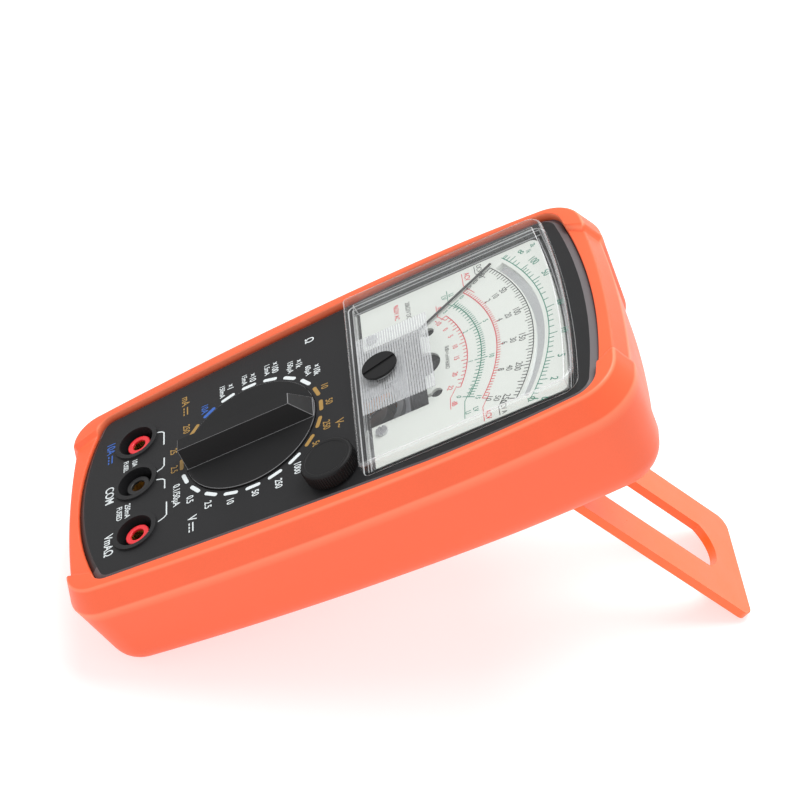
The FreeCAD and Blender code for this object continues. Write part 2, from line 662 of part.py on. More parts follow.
def make_dial_screws():
    screws = []
    for count, (x, y) in enumerate(DIAL_SCREWS, start=1):
        head = rod(f"dial_head_{count}", "1.7", "dial_z", "dial_z + 0.8", x, y)
        shank = rod(f"dial_shank_{count}", "0.9", "dial_z - 4", "dial_z", x, y)
        slot = block(f"dial_slot_{count}", (f"{x} - 1.8", f"{x} + 1.8"), (f"{y} - 0.25", f"{y} + 0.25"),
                     ("dial_z + 0.4", "dial_z + 1"))
        screws.append(cut(f"dial_screw_{count}", fuse(f"dial_blank_{count}", head, shank), slot))
    node("dial_screws", group("dial_screw_group", screws))


# ---------------------------------------------------------------- moving-coil movement

AXIS = {"x": "pivot_x", "y": "pivot_y"}


def about_pivot(turn=0.0):
    """Placement of a piece drawn about the needle's axis, turned left from straight up."""
    return Placement(Vector(size("pivot_x"), size("pivot_y"), 0), Rotation(Vector(0, 0, 1), turn))


def make_magnet_parts():
    yoke = cut("yoke", rod("yoke_blank", "yoke_r", "yoke_base", "yoke_top", **AXIS),
               rod("yoke_bore_tool", "yoke_bore", "yoke_base - 1", "yoke_top + 1", **AXIS))
    node("yoke_ring", yoke)
    node("magnet_core", group("core", [rod("core_rod", "core_r", "yoke_base + 0.4", "yoke_top - 0.4", **AXIS)]))
    ring = cut("gap_ring", rod("gap_outer", "yoke_bore", "-16", "-12", **AXIS),
               rod("gap_inner", "core_r", "-17", "-11", **AXIS))
    bar = block("gap_bar", ("pivot_x - 13", "pivot_x + 13"), ("pivot_y - 2", "pivot_y + 2"), ("-16", "-12"))
    node("core_supports", common("gap_blocks", bar, ring))


def make_movement_frame():
    body = body_named("movement_frame")
    x0, y0 = size("pivot_x"), size("pivot_y")
    pad(body, sketch(body, "frame_cup", circles=[(x0, y0, "yoke_r + 1.1")], lift="-24.4"),
        "24.4 + yoke_top - 1.6")
    shelf = rectangle(-24.0, 24.8, y0 - 4.0, 42.9)
    pad(body, sketch(body, "frame_shelf", [shelf], lift="yoke_top - 1.6"), "2.2", up=False)
    posts = [(x, y, "2.2") for x, y in DIAL_SCREWS]
    pad(body, sketch(body, "dial_posts", circles=posts, lift="yoke_top - 1.6"),
        "dial_z - dial_thick - yoke_top + 1.6")
    pocket(body, sketch(body, "yoke_seat", circles=[(x0, y0, "yoke_r")], lift="yoke_base"), "30", up=True)
    pocket(body, sketch(body, "coil_room", circles=[(x0, y0, "yoke_bore")], lift="-22.9"), "30", up=True)
    pocket(body, sketch(body, "jewel_hole", circles=[(x0, y0, "jewel_r")], lift="-30"), "30", up=True)
    pilots = [(x, y, "0.9") for x, y in DIAL_SCREWS]
    pocket(body, sketch(body, "dial_pilots", circles=pilots, lift="dial_z - 4"), "10", up=True)
    node("movement_frame", body)


def make_bearings():
    bar = block("bridge_bar", ("pivot_x - 12.3", "pivot_x + 12.3"), ("pivot_y - 2.4", "pivot_y + 2.4"),
                ("-4.6", "-3.5"))
    left = block("bridge_left", ("pivot_x - 12.3", "pivot_x - 10.8"), ("pivot_y - 2.4", "pivot_y + 2.4"),
                 ("yoke_top", "-4.6"))
    right = block("bridge_right", ("pivot_x + 10.8", "pivot_x + 12.3"), ("pivot_y - 2.4", "pivot_y + 2.4"),
                  ("yoke_top", "-4.6"))
    hole = rod("bridge_hole", "jewel_r", "-6", "-2", **AXIS)
    node("front_bridge", cut("bridge", fuse("bridge_blank", bar, left, right), hole))
    front = cut("front_jewel", rod("front_jewel_rod", "jewel_r", "-5.4", "-2.4", **AXIS),
                rod("front_jewel_cup", "staff_r + staff_gap", "-6", "-4.5", **AXIS),
                block("front_jewel_slot", ("pivot_x - 2", "pivot_x + 2"), ("pivot_y - 0.25", "pivot_y + 0.25"),
                      ("-2.9", "-2")))
    node("front_jewel_screw", front)
    rear = cut("rear_jewel", rod("rear_jewel_rod", "jewel_r", "-24.4", "-22.4", **AXIS),
               rod("rear_jewel_cup", "staff_r + staff_gap", "-23.4", "-22", **AXIS))
    node("rear_jewel_screw", rear)


def make_coil():
    """Former and winding about the core, drawn with the needle pointing along Y."""
    for label, inner, outer in (("coil_former", 0.0, 0.4), ("coil_winding", 0.4, 1.3)):
        body = body_named(label)
        half, high, low = 8.5, -9.0, -19.7
        outside = rectangle(-half - outer, half + outer, low - outer * 0.7, high + outer * 0.7)
        inside = rectangle(-half - inner, half + inner, low - inner * 0.7, high + inner * 0.7)
        loop = sketch(body, label + "_loop", [outside, inside], plane="YZ_Plane")
        pad(body, loop, "4.8", sides="Symmetric")
        node(label, body, about_pivot(size("needle_rest")))
    front = rod("front_staff", "staff_r", "-8.1", "-4.8")
    rear = rod("rear_staff", "staff_r", "-23.1", "-20.6")
    node("pivot_staffs", group("staff_pair", [front, rear]), about_pivot(size("needle_rest")))


def make_needle():
    body = body_named("needle")
    reach = size("needle_reach")
    hub = [(0, 0, "1.6")]
    pad(body, sketch(body, "needle_hub", circles=hub, lift="-7.4"), "1.5")
    blade = chain((-6.4, -6.6), (14.2, -6.6), (17.0, -0.5), (reach, -0.5), (reach, -0.2), (16.7, -0.2),
                  (13.9, -6.2), (-6.4, -6.2), (-6.4, -6.6))
    pad(body, sketch(body, "needle_blade", [blade], plane="YZ_Plane"), "0.7", sides="Symmetric")
    arms = rectangle(-5.4, 5.4, -0.35, 0.35)
    pad(body, sketch(body, "needle_arms", [arms], lift="-6.6"), "0.4")
    pocket(body, sketch(body, "staff_hole", circles=[(0, 0, "staff_r")], lift="-9"), "9", up=True)
    node("needle", body, about_pivot(size("needle_rest")))
    weights = []
    for place, x, y, low in (("left", -4.6, 0, -7.3), ("right", 4.6, 0, -7.3), ("tail", 0, -5.6, -8.0)):
        weights.append(rod(f"weight_{place}", "0.75", low, "-6.6", x, y))
    node("balance_weights", group("weight_group", weights), about_pivot(size("needle_rest")))


def spiral_loop(inner, pitch, turns, thick):
    """Flat spiral strip of half circles, as one closed loop."""

    def half_turns(radius):
        """Crown and end of each half circle, from the inner end outwards."""
        here, steps = radius, []
        for count in range(2 * turns):
            side = -1 if count % 2 == 0 else 1
            reach = radius + pitch / 2 * count
            steps.append(((here + side * reach, -side * reach), (here + 2 * side * reach, 0.0)))
            here += 2 * side * reach
        return steps

    outer, inside = half_turns(inner + thick), half_turns(inner)
    ends = [(inner, 0.0)] + [end for crown, end in inside]
    back = [(crown, before) for (crown, end), before in zip(reversed(inside), reversed(ends[:-1]))]
    return chain((inner + thick, 0.0), *outer, ends[-1], *back, (inner + thick, 0.0))


def make_hairsprings():
    for label, low in (("front_hairspring", "-5.85"), ("rear_hairspring", "-21.9")):
        body = body_named(label)
        strip = spiral_loop(size("hairspring_inner"), size("hairspring_pitch"), 4, size("hairspring_thick"))
        pad(body, sketch(body, label + "_strip", [strip], lift=low), "hairspring_wide")
        node(label, body, about_pivot(size("needle_rest")))


def make_zero_adjuster():
    place = {"x": "pivot_x", "y": "adjust_y"}
    head = rod("adjust_head", "adjust_head_r", "cover_high + 0.05", "cover_high + 0.75", **place)
    shank = rod("adjust_shank", "adjust_shank_r", "0.9", "cover_high + 0.05", **place)
    pin = rod("adjust_pin", "adjust_pin_r", "-3.7", "0.9", "pivot_x", "adjust_y - adjust_throw")
    wide, long, turn = 1.2, 12.0, Rotation(Vector(0, 0, 1), size("adjust_slot_turn"))
    corner = turn.multVec(Vector(wide / 2, long / 2, 0))
    slot = doc.addObject("Part::Box", "adjust_slot")
    slot.Placement = Placement(Vector(), turn)
    bind(slot, Length=wide, Width=long, Height="1", Placement__Base__x=f"pivot_x - ({corner.x})",
         Placement__Base__y=f"adjust_y - ({corner.y})", Placement__Base__z="cover_high + 0.3")
    node("zero_adjust_screw", cut("adjuster", fuse("adjuster_blank", head, shank, pin), slot))
    body = body_named("zero_lever")
    tine, slot_half, throat, tip = 1.9, size("adjust_pin_r") + 0.1, 8.4, 12.2
    outline = chain((-1.2, 2.6), (1.2, 2.6), (tine, throat - 1.4), (tine, tip), (slot_half, tip),
                    (slot_half, throat + 0.8), (-slot_half, throat + 0.8), (-slot_half, tip), (-tine, tip),
                    (-tine, throat - 1.4), (-1.2, 2.6))
    pad(body, sketch(body, "lever_eye", circles=[(0, 0, "jewel_r + 1.4")], lift="-3.35"), "0.6")
    pad(body, sketch(body, "lever_arm", [outline], lift="-3.35"), "0.6")
    pocket(body, sketch(body, "lever_bore", circles=[(0, 0, "jewel_r + 0.08")], lift="-5"), "5", up=True)
    node("zero_lever", body, about_pivot())


# ---------------------------------------------------------------- range selector


def make_selector_knob():
    body = body_named("selector_knob")
    pad(body, sketch(body, "knob_disc", circles=[(0, 0, "knob_r")], lift="-knob_sink"), "knob_sink + knob_top")
    base, top, foot, crest = size("bar_base_half"), size("bar_top_half"), size("knob_top"), size("bar_top")
    bar = chain((-base, foot - 0.3), (base, foot - 0.3), (base, foot), (top, crest), (-top, crest),
                (-base, foot), (-base, foot - 0.3))
    pad(body, sketch(body, "grip_bar", [bar], plane="XZ_Plane"), "2 * bar_half", sides="Symmetric")
    end, start = size("bar_half"), size("prow_top")
    prow = chain((start, crest), (end + 2, crest + 1), (end + 2, foot), (end + 0.1, foot), (start, crest))
    pocket(body, sketch(body, "prow_slope", [prow], plane="YZ_Plane"), "20", sides="Symmetric")
    pad(body, sketch(body, "knob_hub", circles=[(0, 0, "hub_r")], lift="rotor_top"), "-knob_sink - rotor_top")
    pocket(body, sketch(body, "knob_pilot", circles=[(0, 0, "1.4")], lift="rotor_top"), "2.2", up=True)
    node("selector_knob", body)


def make_rotor():
    disc = rod("rotor_disc", "rotor_r", "rotor_base", "rotor_top")
    hole = rod("rotor_hole", "1.4", "rotor_base - 1", "rotor_top + 1")
    bores = [cross_rod("ball_bore_right", "ball_r + 0.05", "8.5", "20", "0", "ball_z"),
             cross_rod("ball_bore_left", "ball_r + 0.05", "-20", "-8.5", "0", "ball_z")]
    node("selector_rotor", cut("rotor", disc, hole, *bores))
    head = rod("knob_screw_head", "2.8", "rotor_base - 1.6", "rotor_base")
    shank = rod("knob_screw_shank", "1.4", "rotor_base", "rotor_top + 2")
    node("knob_screw", fuse("knob_screw_blank", head, shank))
    for side, sign in (("a", 1), ("b", -1)):
        ball = doc.addObject("Part::Sphere", f"ball_{side}")
        bind(ball, Radius="ball_r", Placement__Base__x=f"{sign} * ball_at", Placement__Base__z="ball_z")
        node(f"detent_ball_{side}", group(f"ball_{side}_solid", [ball]))
        ends = ("9.2", "12.4") if sign > 0 else ("-12.4", "-9.2")
        spring = cut(f"spring_{side}", cross_rod(f"spring_{side}_out", "1.3", *ends, "0", "ball_z"),
                     cross_rod(f"spring_{side}_in", "0.9", *ends, "0", "ball_z"))
        node(f"detent_spring_{side}", spring)
    wipers = []
    for count, radius in enumerate((7.5, 10.5, 13.5), start=1):
        leaf = block(f"wiper_leaf_{count}", (f"{radius} - 0.9", f"{radius} + 0.9"), ("-3.5", "3.5"),
                     ("rotor_base - 0.4", "rotor_base"))
        foot = block(f"wiper_foot_{count}", (f"{radius} - 0.9", f"{radius} + 0.9"), ("2.9", "3.5"),
                     ("board_top + 0.1", "rotor_base - 0.4"))
        wipers.append(fuse(f"wiper_{count}", leaf, foot))
    node("wiper_contacts", group("wiper_group", wipers), Placement(Vector(), Rotation(Vector(0, 0, 1), 90)))


def make_detent_ring():
    body = body_named("detent_ring")
    ring = sketch(body, "ring_plan", circles=[(0, 0, "ring_r"), (0, 0, "ring_bore")], lift="rotor_base + 0.2")
    pad(body, ring, "-case_wall - rotor_base - 0.2")
    mark = sketch(body, "ball_notch", circles=[(size("notch_at"), 0, "notch_r")], lift="rotor_base - 1")
    first = pocket(body, mark, "10", up=True)
    pattern = body.newObject("PartDesign::PolarPattern", "notch_pattern")
    pattern.Originals = [first]
    pattern.Axis = (mark, ["N_Axis"])
    pattern.Angle = 360
    pattern.setExpression("Occurrences", rule("positions"))
    body.Tip = pattern
    node("detent_ring", body)


# ---------------------------------------------------------------- zero-ohm adjuster


def make_ohm_adjuster():
    body = body_named("ohm_wheel")
    pad(body, sketch(body, "wheel_disc", circles=[(0, 0, "wheel_r")], lift="wheel_base"),
        "wheel_top - wheel_base")
    dress("Chamfer", body, level(size("wheel_top")), Size="0.5")
    pad(body, sketch(body, "wheel_shaft", circles=[(0, 0, "wheel_shaft_r")], lift="-case_wall - 0.1"),
        "wheel_base + case_wall + 0.1")
    at_wheel = Placement(Vector(size("wheel_x"), size("wheel_y"), 0), Rotation())
    node("ohm_wheel", body, at_wheel)
    can = rod("pot_can", "pot_r", "-7.6", "-case_wall - 0.4", "wheel_x", "wheel_y")
    node("ohm_potentiometer", group("pot", [can]))


# ---------------------------------------------------------------- sockets


def make_sockets():
    for place, label in (("left", "ten_amp"), ("mid", "common"), ("right", "volt_ohm")):
        at = {"x": f"socket_{place}_x", "y": "socket_y"}
        sleeve = cut(f"{label}_sleeve", rod(f"{label}_tube", "sleeve_r", "sleeve_base", "sleeve_top", **at),
                     rod(f"{label}_bore", "jack_r", "jack_end", "sleeve_top + 1", **at))
        node(f"jack_sleeve_{label}", sleeve)
        collar = cut(f"{label}_collar", rod(f"{label}_ring", "collar_r", "well_floor - 1", "collar_top", **at),
                     rod(f"{label}_seat", "sleeve_r", "well_floor - 2", "sleeve_top", **at),
                     rod(f"{label}_mouth", "jack_r", "sleeve_top - 1", "collar_top + 1", **at))
        node(f"jack_collar_{label}", collar)


# ---------------------------------------------------------------- circuit board and its parts


def make_board():
    body = body_named("circuit_board")
    half, low, high = size("board_half"), size("board_low"), size("board_high")
    across, up = size("board_corner_x"), size("board_corner_y")
    outline = chain((across - half, low), (half - across, low), (half, low + up), (half, high), (-half, high),
                    (-half, low + up), (across - half, low))
    pad(body, sketch(body, "board_plan", [outline], lift="board_top"), "board_top - board_base", up=False)
    holes = [(x, y, "sleeve_r") for x, y in sockets()] + [(x, y, "board_screw_r") for x, y in BOARD_SCREWS]
    pocket(body, sketch(body, "board_holes", circles=holes, lift="0"), "30", up=False)
    node("circuit_board", body)


def make_board_parts():
    fuse_y, fuse_z = "-24", "board_base - 3.4"
    node("glass_fuse", group("fuse_tube", [cross_rod("fuse_rod", "2.5", "-8", "12", fuse_y, fuse_z)]))
    clips = []
    for side, x in (("left", -7.4), ("right", 8.4)):
        plate = block(f"clip_{side}", (x, x + 3), ("-27.2", "-20.8"), ("board_base - 4.2", "board_base"))
        clips.append(cut(f"clip_{side}_cut", plate, cross_rod(f"clip_{side}_seat", "2.5", "-9", "13", fuse_y,
                                                              fuse_z)))
    node("fuse_clips", group("clip_pair", clips))
    bow = doc.addObject("Part::Torus", "shunt_bow")
    bind(bow, Radius1="(socket_mid_x - socket_left_x) / 2 - 4.4", Radius2="0.8",
         Placement__Base__x="(socket_mid_x + socket_left_x) / 2", Placement__Base__y="socket_y",
         Placement__Base__z="board_base")
    bow.Placement = Placement(bow.Placement.Base, Rotation(Vector(1, 0, 0), -90))
    bow.Angle3 = 180
    node("current_shunt", group("shunt", [bow]))
    buzzer = rod("buzzer_rod", "6", "board_base - 4.6", "board_base", "-22.5", "-22")
    node("buzzer", group("buzzer_can", [buzzer]))
    resistors = [cross_rod(f"resistor_{row}_{column}", "1.1", f"{-26 + 9.5 * column}", f"{-19.6 + 9.5 * column}",
                           f"{-10 + 4.6 * row}", "board_base - 1.1") for row in range(4) for column in range(6)]
    node("resistors", group("resistor_group", [r for r in resistors
                                               if r.Name not in ("resistor_0_0", "resistor_0_5")]))
    tall = [rod(f"capacitor_{count}", "2.6", "board_base - 7", "board_base", x, "-28") for count, x in
            enumerate((19, 25.4), start=1)]
    node("capacitors", group("capacitor_group", tall))
    diodes = [long_rod(f"diode_{count}", "0.9", "-19", "-15", x, "board_base - 0.9") for count, x in
              enumerate((15.5, 18.5, 21.5, 24.5), start=1)]
    node("diodes", group("diode_group", diodes))


# ---------------------------------------------------------------- batteries and wires


def make_batteries():
    floor = block("tray_plate", ("-32.3", "26.8"), ("43.3", "94.2"), ("inner_back", "tray_floor"))
    middle = block("tray_middle", ("-2.4", "-1.2"), ("45.6", "94.2"), ("tray_floor", "-13"))
    end = block("tray_end", ("-32.3", "26.8"), ("43.3", "43.9"), ("tray_floor", "-9"))
    node("battery_tray", fuse("tray", floor, middle, end))
    for side in ("left", "right"):
        x = f"cell_{side}_x"
        can = long_rod(f"cell_{side}_can", "cell_r", "cell_low", "cell_high", x, "cell_z")
        nub = long_rod(f"cell_{side}_nub", "2.7", "cell_high", "cell_high + 1", x, "cell_z")
        node(f"penlight_cell_{side}", fuse(f"cell_{side}", can, nub))
    battery = block("block_can", ("block_left", "block_right"), ("block_low", "block_high"),
                    ("tray_floor", "block_front"))
    node("square_battery", group("block_solid", [battery]))
    springs = [cut(f"cell_spring_{side}",
                   long_rod(f"cell_spring_{side}_out", "3.6", "43.9", "cell_low", f"cell_{side}_x", "cell_z"),
                   long_rod(f"cell_spring_{side}_in", "3.0", "43.8", "cell_low + 1", f"cell_{side}_x", "cell_z"))
               for side in ("left", "right")]
    node("cell_springs", group("cell_spring_pair", springs))
    strap = block("cell_strap_plate", ("cell_left_x - 4", "cell_right_x + 4"),
                  ("cell_high + 1", "cell_high + 1.4"),
                  ("cell_z - 4", "cell_z + 4"))
    node("cell_strap", group("cell_strap_solid", [strap]))
    caps = [long_rod(f"snap_{name}", "2.9", "block_high", "block_high + 2.4", f"block_left + {offset}", "-14")
            for name, offset in (("plus", 7), ("minus", 19.5))]
    pad_plate = block("snap_plate", ("block_left + 3", "block_right - 3"), ("block_high + 2.4", "block_high + 3"),
                      ("-19", "-9"))
    node("battery_snap", fuse("snap", *caps, pad_plate))


def wire_along(points, bend, radius):
    """Round wire along straight runs joined by tangent arcs."""
    spots = [Vector(*point) for point in points]
    edges = []
    here = spots[0]
    for before, corner, after in zip(spots, spots[1:], spots[2:]):
        into, out = (corner - before).normalize(), (after - corner).normalize()
        turn = into.getAngle(out)
        reach = bend * math.tan(turn / 2)
        start, end = corner - into * reach, corner + out * reach
        inward = (out - into).normalize()
        centre = corner + inward * (bend / math.cos(turn / 2))
        middle = centre - inward * bend
        edges += [Part.LineSegment(here, start).toShape(), Part.Arc(start, middle, end).toShape()]
        here = end
    edges.append(Part.LineSegment(here, spots[-1]).toShape())
    path = Part.Wire(edges)
    section = Part.Wire(Part.Circle(spots[0], spots[1] - spots[0], radius).toShape())
    return path.makePipeShell([section], True, False)


def make_wires():
    """Battery and coil leads, which lie in the case between fixed ends."""
    routes = {
        "battery_wires": [
            [(29.2, 60, -18), (29.2, 30, -18), (24, 15, -18), (24, 9, -12.8)],
            [(31.6, 60, -15), (31.6, 30, -15), (28.4, 16, -15), (28.4, 9, -12.8)],
        ],
        "movement_wires": [
            [(-14.8, 26, -18), (-19, 20, -18), (-21, 15, -17), (-21, 9, -12.8)],
            [(-14.8, 32, -20), (-22, 27, -20), (-25, 15, -18), (-25, 9, -12.8)],
        ],
    }
    for label, pair in routes.items():
        wires = []
        for count, route in enumerate(pair, start=1):
            item = doc.addObject("Part::Feature", f"{label}_{count}")
            item.Shape = wire_along(route, 3.0, 0.6)
            wires.append(item)
        node(label, group(label + "_group", wires))


# ---------------------------------------------------------------- build, stand up and write

make_holster()
make_tilt_stand()
make_front_case()
make_rear_case()
make_screws("case_screws", CASE_SCREWS, "2.3", "case_back + 0.3", "case_back + 2.2", "case_screw_r",
            "case_split + 6.5")
make_window_cover()
make_dial_plate()
make_mirror_band()
make_dial_screws()
make_magnet_parts()
make_movement_frame()
make_bearings()
make_coil()
make_needle()
make_hairsprings()
make_zero_adjuster()
make_selector_knob()
make_rotor()
make_detent_ring()
make_ohm_adjuster()
make_sockets()
make_board()
make_screws("board_screws", BOARD_SCREWS, "2.1", "board_base - 1.5", "board_base", "board_screw_r",
            "board_top + 5")
make_board_parts()
make_batteries()
make_wires()
doc.recompute()


def stand_up(lift):
    """Place every node: tilted, then moved by lift."""
    standing = Placement(lift, Rotation(Vector(1, 0, 0), size("tilt")))
    for item, local in nodes:
        item.Placement = standing.multiply(local)
    doc.recompute()
    return standing


stand_up(Vector())
boxes = [item.Shape.optimalBoundingBox(False, False) for item, local in nodes]
left, right = min(box.XMin for box in boxes), max(box.XMax for box in boxes)
front, rear = min(box.YMin for box in boxes), max(box.YMax for box in boxes)
floor, top = min(box.ZMin for box in boxes), max(box.ZMax for box in boxes)
standing = stand_up(Vector(-(left + right) / 2, -(front + rear) / 2, -floor))
print(f"stands {right - left:.1f} x {rear - front:.1f} x {top - floor:.1f} mm, origin moved by {standing.Base}")
print(f"hinge to foot {stand_length():.2f} mm")

broken = [item.Name for item in doc.Objects if {"Invalid", "Error"} & set(item.State)]
broken += [item.Label for item, local in nodes if item.Shape.isNull() or not item.Shape.isValid()]
if broken:
    raise ValueError("failed: " + ", ".join(broken))

os.makedirs("parts", exist_ok=True)
for item, local in nodes:
    item.Shape.exportStep(os.path.join("parts", item.Label + ".step"))
print(len(nodes), "nodes written")
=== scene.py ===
import json
import math

import bmesh
import bpy
from mathutils import Matrix, Vector


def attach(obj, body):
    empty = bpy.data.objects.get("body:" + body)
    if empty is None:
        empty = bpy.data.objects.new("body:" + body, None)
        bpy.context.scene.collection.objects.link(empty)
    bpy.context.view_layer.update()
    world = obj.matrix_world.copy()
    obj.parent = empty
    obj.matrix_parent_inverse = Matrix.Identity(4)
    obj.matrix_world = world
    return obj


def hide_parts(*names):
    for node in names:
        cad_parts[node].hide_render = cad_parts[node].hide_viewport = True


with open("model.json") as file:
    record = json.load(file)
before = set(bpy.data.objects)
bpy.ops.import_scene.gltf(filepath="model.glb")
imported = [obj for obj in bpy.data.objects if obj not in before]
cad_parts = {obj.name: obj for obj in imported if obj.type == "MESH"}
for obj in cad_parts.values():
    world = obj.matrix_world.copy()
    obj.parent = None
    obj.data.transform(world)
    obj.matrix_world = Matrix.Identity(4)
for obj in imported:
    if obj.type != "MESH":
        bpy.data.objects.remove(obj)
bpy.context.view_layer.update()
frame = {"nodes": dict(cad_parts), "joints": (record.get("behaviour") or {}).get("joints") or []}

# ---- The meter's own axes
# The instrument stands propped up, so everything on it is laid out in its own axes, in millimetres:
# X to the reader's right, Y up the face and Z out of the face, from the middle of the range dial.
# The dial's shaft and the frame's X axis fix those axes.
joints = {joint["name"]: joint for joint in frame["joints"]}
out_of_face = Vector(joints["selector_turn"]["axis"])
across = Vector((1, 0, 0))
up_face = out_of_face.cross(across)
LEAN = math.atan2(-out_of_face.y, out_of_face.z)
MM = 0.001
METER = Matrix.Translation(joints["selector_turn"]["pos_m"]) @ Matrix(
    [(across[i], up_face[i], out_of_face[i]) for i in range(3)]).to_4x4() @ Matrix.Scale(MM, 4)
TO_METER = METER.inverted()


def in_meter(joint):
    """Where a joint's axis stands, in the meter's axes."""
    return TO_METER @ Vector(joints[joint]["pos_m"])


# ---- Camera
# A long lens, level with the upper end of the meter and off to the reader's right, turned a little.
eye = Vector((0.4889, -0.06345, 0.45345))
aim = Vector((-0.00355, -0.00515, 0.06275))
roll = math.radians(-3.868)
look = (aim - eye).to_track_quat("-Z", "Y").to_matrix().to_4x4()
lens = bpy.data.cameras.new("lens")
lens.lens = 103.73
lens.sensor_width = 36.0
camera = bpy.data.objects.new("camera", lens)
camera.matrix_world = Matrix.Translation(eye) @ look @ Matrix.Rotation(-roll, 4, "Z")
bpy.context.scene.collection.objects.link(camera)
bpy.context.scene.camera = camera
bpy.context.scene.view_settings.view_transform = "Standard"

# ---- Studio
# A pale, faintly glowing floor that runs out to the horizon, a large soft lamp overhead and a weaker one on
# each side.
FLOOR_TONE, FLOOR_GLOW = (0.55, 0.55, 0.55), 0.58
SKY_GLOW = 0.62
LAMP_AIM = Vector((0, 0, 0.05))
LAMPS = [
    # name, place, size, watts
    ("overhead", (-0.25, 0.2, 1.1), 0.9, 12.0),
    ("front", (0.9, -0.5, 0.5), 0.8, 2.2),
    ("far_side", (-0.8, 0.5, 0.5), 0.7, 2.0),
]
bpy.ops.mesh.primitive_plane_add(size=8.0)
floor = bpy.context.object
floor.name = "floor"
floor_paper = bpy.data.materials.new("floor_paper")
floor_paper.use_nodes = True
floor_shader = floor_paper.node_tree.nodes["Principled BSDF"]
floor_shader.inputs["Base Color"].default_value = (*FLOOR_TONE, 1)
floor_shader.inputs["Roughness"].default_value = 0.9
floor_shader.inputs["Specular IOR Level"].default_value = 0.1
floor_shader.inputs["Emission Color"].default_value = (1.0, 1.0, 1.0, 1)
floor_shader.inputs["Emission Strength"].default_value = FLOOR_GLOW
floor.data.materials.append(floor_paper)
for name, place, width, watts in LAMPS:
    lamp = bpy.data.lights.new(name, "AREA")
    lamp.shape = "DISK"
    lamp.size = width
    lamp.energy = watts
    holder = bpy.data.objects.new(name, lamp)
    holder.location = place
    holder.rotation_euler = (LAMP_AIM - Vector(place)).to_track_quat("-Z", "Y").to_euler()
    bpy.context.scene.collection.objects.link(holder)
sky = bpy.data.worlds.new("sky")
sky.use_nodes = True
sky.node_tree.nodes["Background"].inputs["Color"].default_value = (1.0, 1.0, 1.0, 1)
sky.node_tree.nodes["Background"].inputs["Strength"].default_value = SKY_GLOW
bpy.context.scene.world = sky

# ---- Holster
# One soft moulding of orange elastomer that the meter is pressed into from the front. Its lip holds the
# case's shoulder, its four corners stand proud as bumpers, and the wall drafts inwards to a rounded back.
HOLSTER_ORANGE = (0.9, 0.125, 0.045)
PLAN_COUNTS = (34, 18, 60, 40, 20, 38)
CASE_PLAN = dict(low=(33.9, -47.0), low_end=-54.4, mid=(38.4, 10.0), wide=(41.2, 50.0), scale=(41.35, 64.0),
                 top=(39.6, 96.5), top_end=101.2, low_round=5.0, top_round=7.0)
HOLSTER_PLAN = dict(low=(38.2, -58.0), low_end=-60.9, mid=(45.0, 10.0), wide=(46.5, 50.0), scale=(46.5, 64.0),
                    top=(43.6, 104.8), top_end=108.3, low_round=12.0, top_round=15.0)
RIM_TOP, CREASE, CREASE_RUN = 1.2, -6.0, 3.0
DRAFT_ANGLE = math.radians(6.5)
DRAFT = math.tan(DRAFT_ANGLE)
BACK_ROUND = 9.0
BACK_START, BACK_FALL, BACK_FROM, BACK_RUN = -32.5, 3.8, -50.0, 150.0
BUMPER_START, BUMPER_STEP = 27.5, 1.1
END_FACING, END_DROP, END_HOLLOW = 0.75, 1.4, 1.2
WALL_STEPS, ROUND_STEPS = 6, 10
# Points of a section as distance outwards and height: up the inside to the lip, in from the rim, over the
# rim (both from the rim's height), down the slope, and round the crease.
LIP = [(1.1, -26.8), (1.1, -2.2), (0.9, -1.85), (0.4, -1.85), (0.2, -1.6)]
RIM_INSIDE = [(0.2, -0.6), (0.28, -0.25), (0.5, 0.0)]
RIM_OUTSIDE = [(-0.5, 0.0), (-0.1, -0.08), (0.2, -0.4), (0.45, -1.0)]
SLOPE_HEIGHTS = (-2.0, -4.0, -5.4)
CREASE_TURN = [(-0.05, 0.1), (0.03, -0.3)]
# Painted highlights: a band at the crease and a band along the rim's crown are painted a lighter orange,
# standing for the light that those edges catch.
HIGHLIGHT_BANDS = [(CREASE - 0.35, CREASE + 0.15), (RIM_TOP - 0.7, RIM_TOP - 0.02)]
HIGHLIGHT_STRENGTH = 0.5
BAY_HALF, BAY_LOW, BAY_HIGH, BAY_FLOOR, BAY_OPEN = 22.1, -30.0, 68.6, 3.9, 60.0
HINGE_BORE_R, HINGE_BORE_HALF = 1.36, 25.0


def circle_through(a, b, c):
    """Centre and radius of the arc through three points of a plan."""
    (ax, ay), (bx, by), (cx, cy) = a, b, c
    double = 2 * (ax * (by - cy) + bx * (cy - ay) + cx * (ay - by))
    aa, bb, cc = ax * ax + ay * ay, bx * bx + by * by, cx * cx + cy * cy
    x = (aa * (by - cy) + bb * (cy - ay) + cc * (ay - by)) / double
    y = (aa * (cx - bx) + bb * (ax - cx) + cc * (bx - ax)) / double
    return Vector((x, y)), math.hypot(ax - x, ay - y)


def nested(one, other, round_r, near):
    """Centre of the round of radius round_r that touches two arcs from inside, near a corner."""
    (p, big_p), (q, big_q) = one, other
    reach_p, reach_q = big_p - round_r, big_q - round_r
    gap = (q - p).length
    along = (reach_p ** 2 - reach_q ** 2 + gap ** 2) / (2 * gap)
    off = math.sqrt(max(reach_p ** 2 - along ** 2, 0.0))
    base, side = p + (q - p) * (along / gap), Vector((-(q - p).y, (q - p).x)) / gap
    return min((base + side * off, base - side * off), key=lambda spot: (spot - Vector(near)).length)


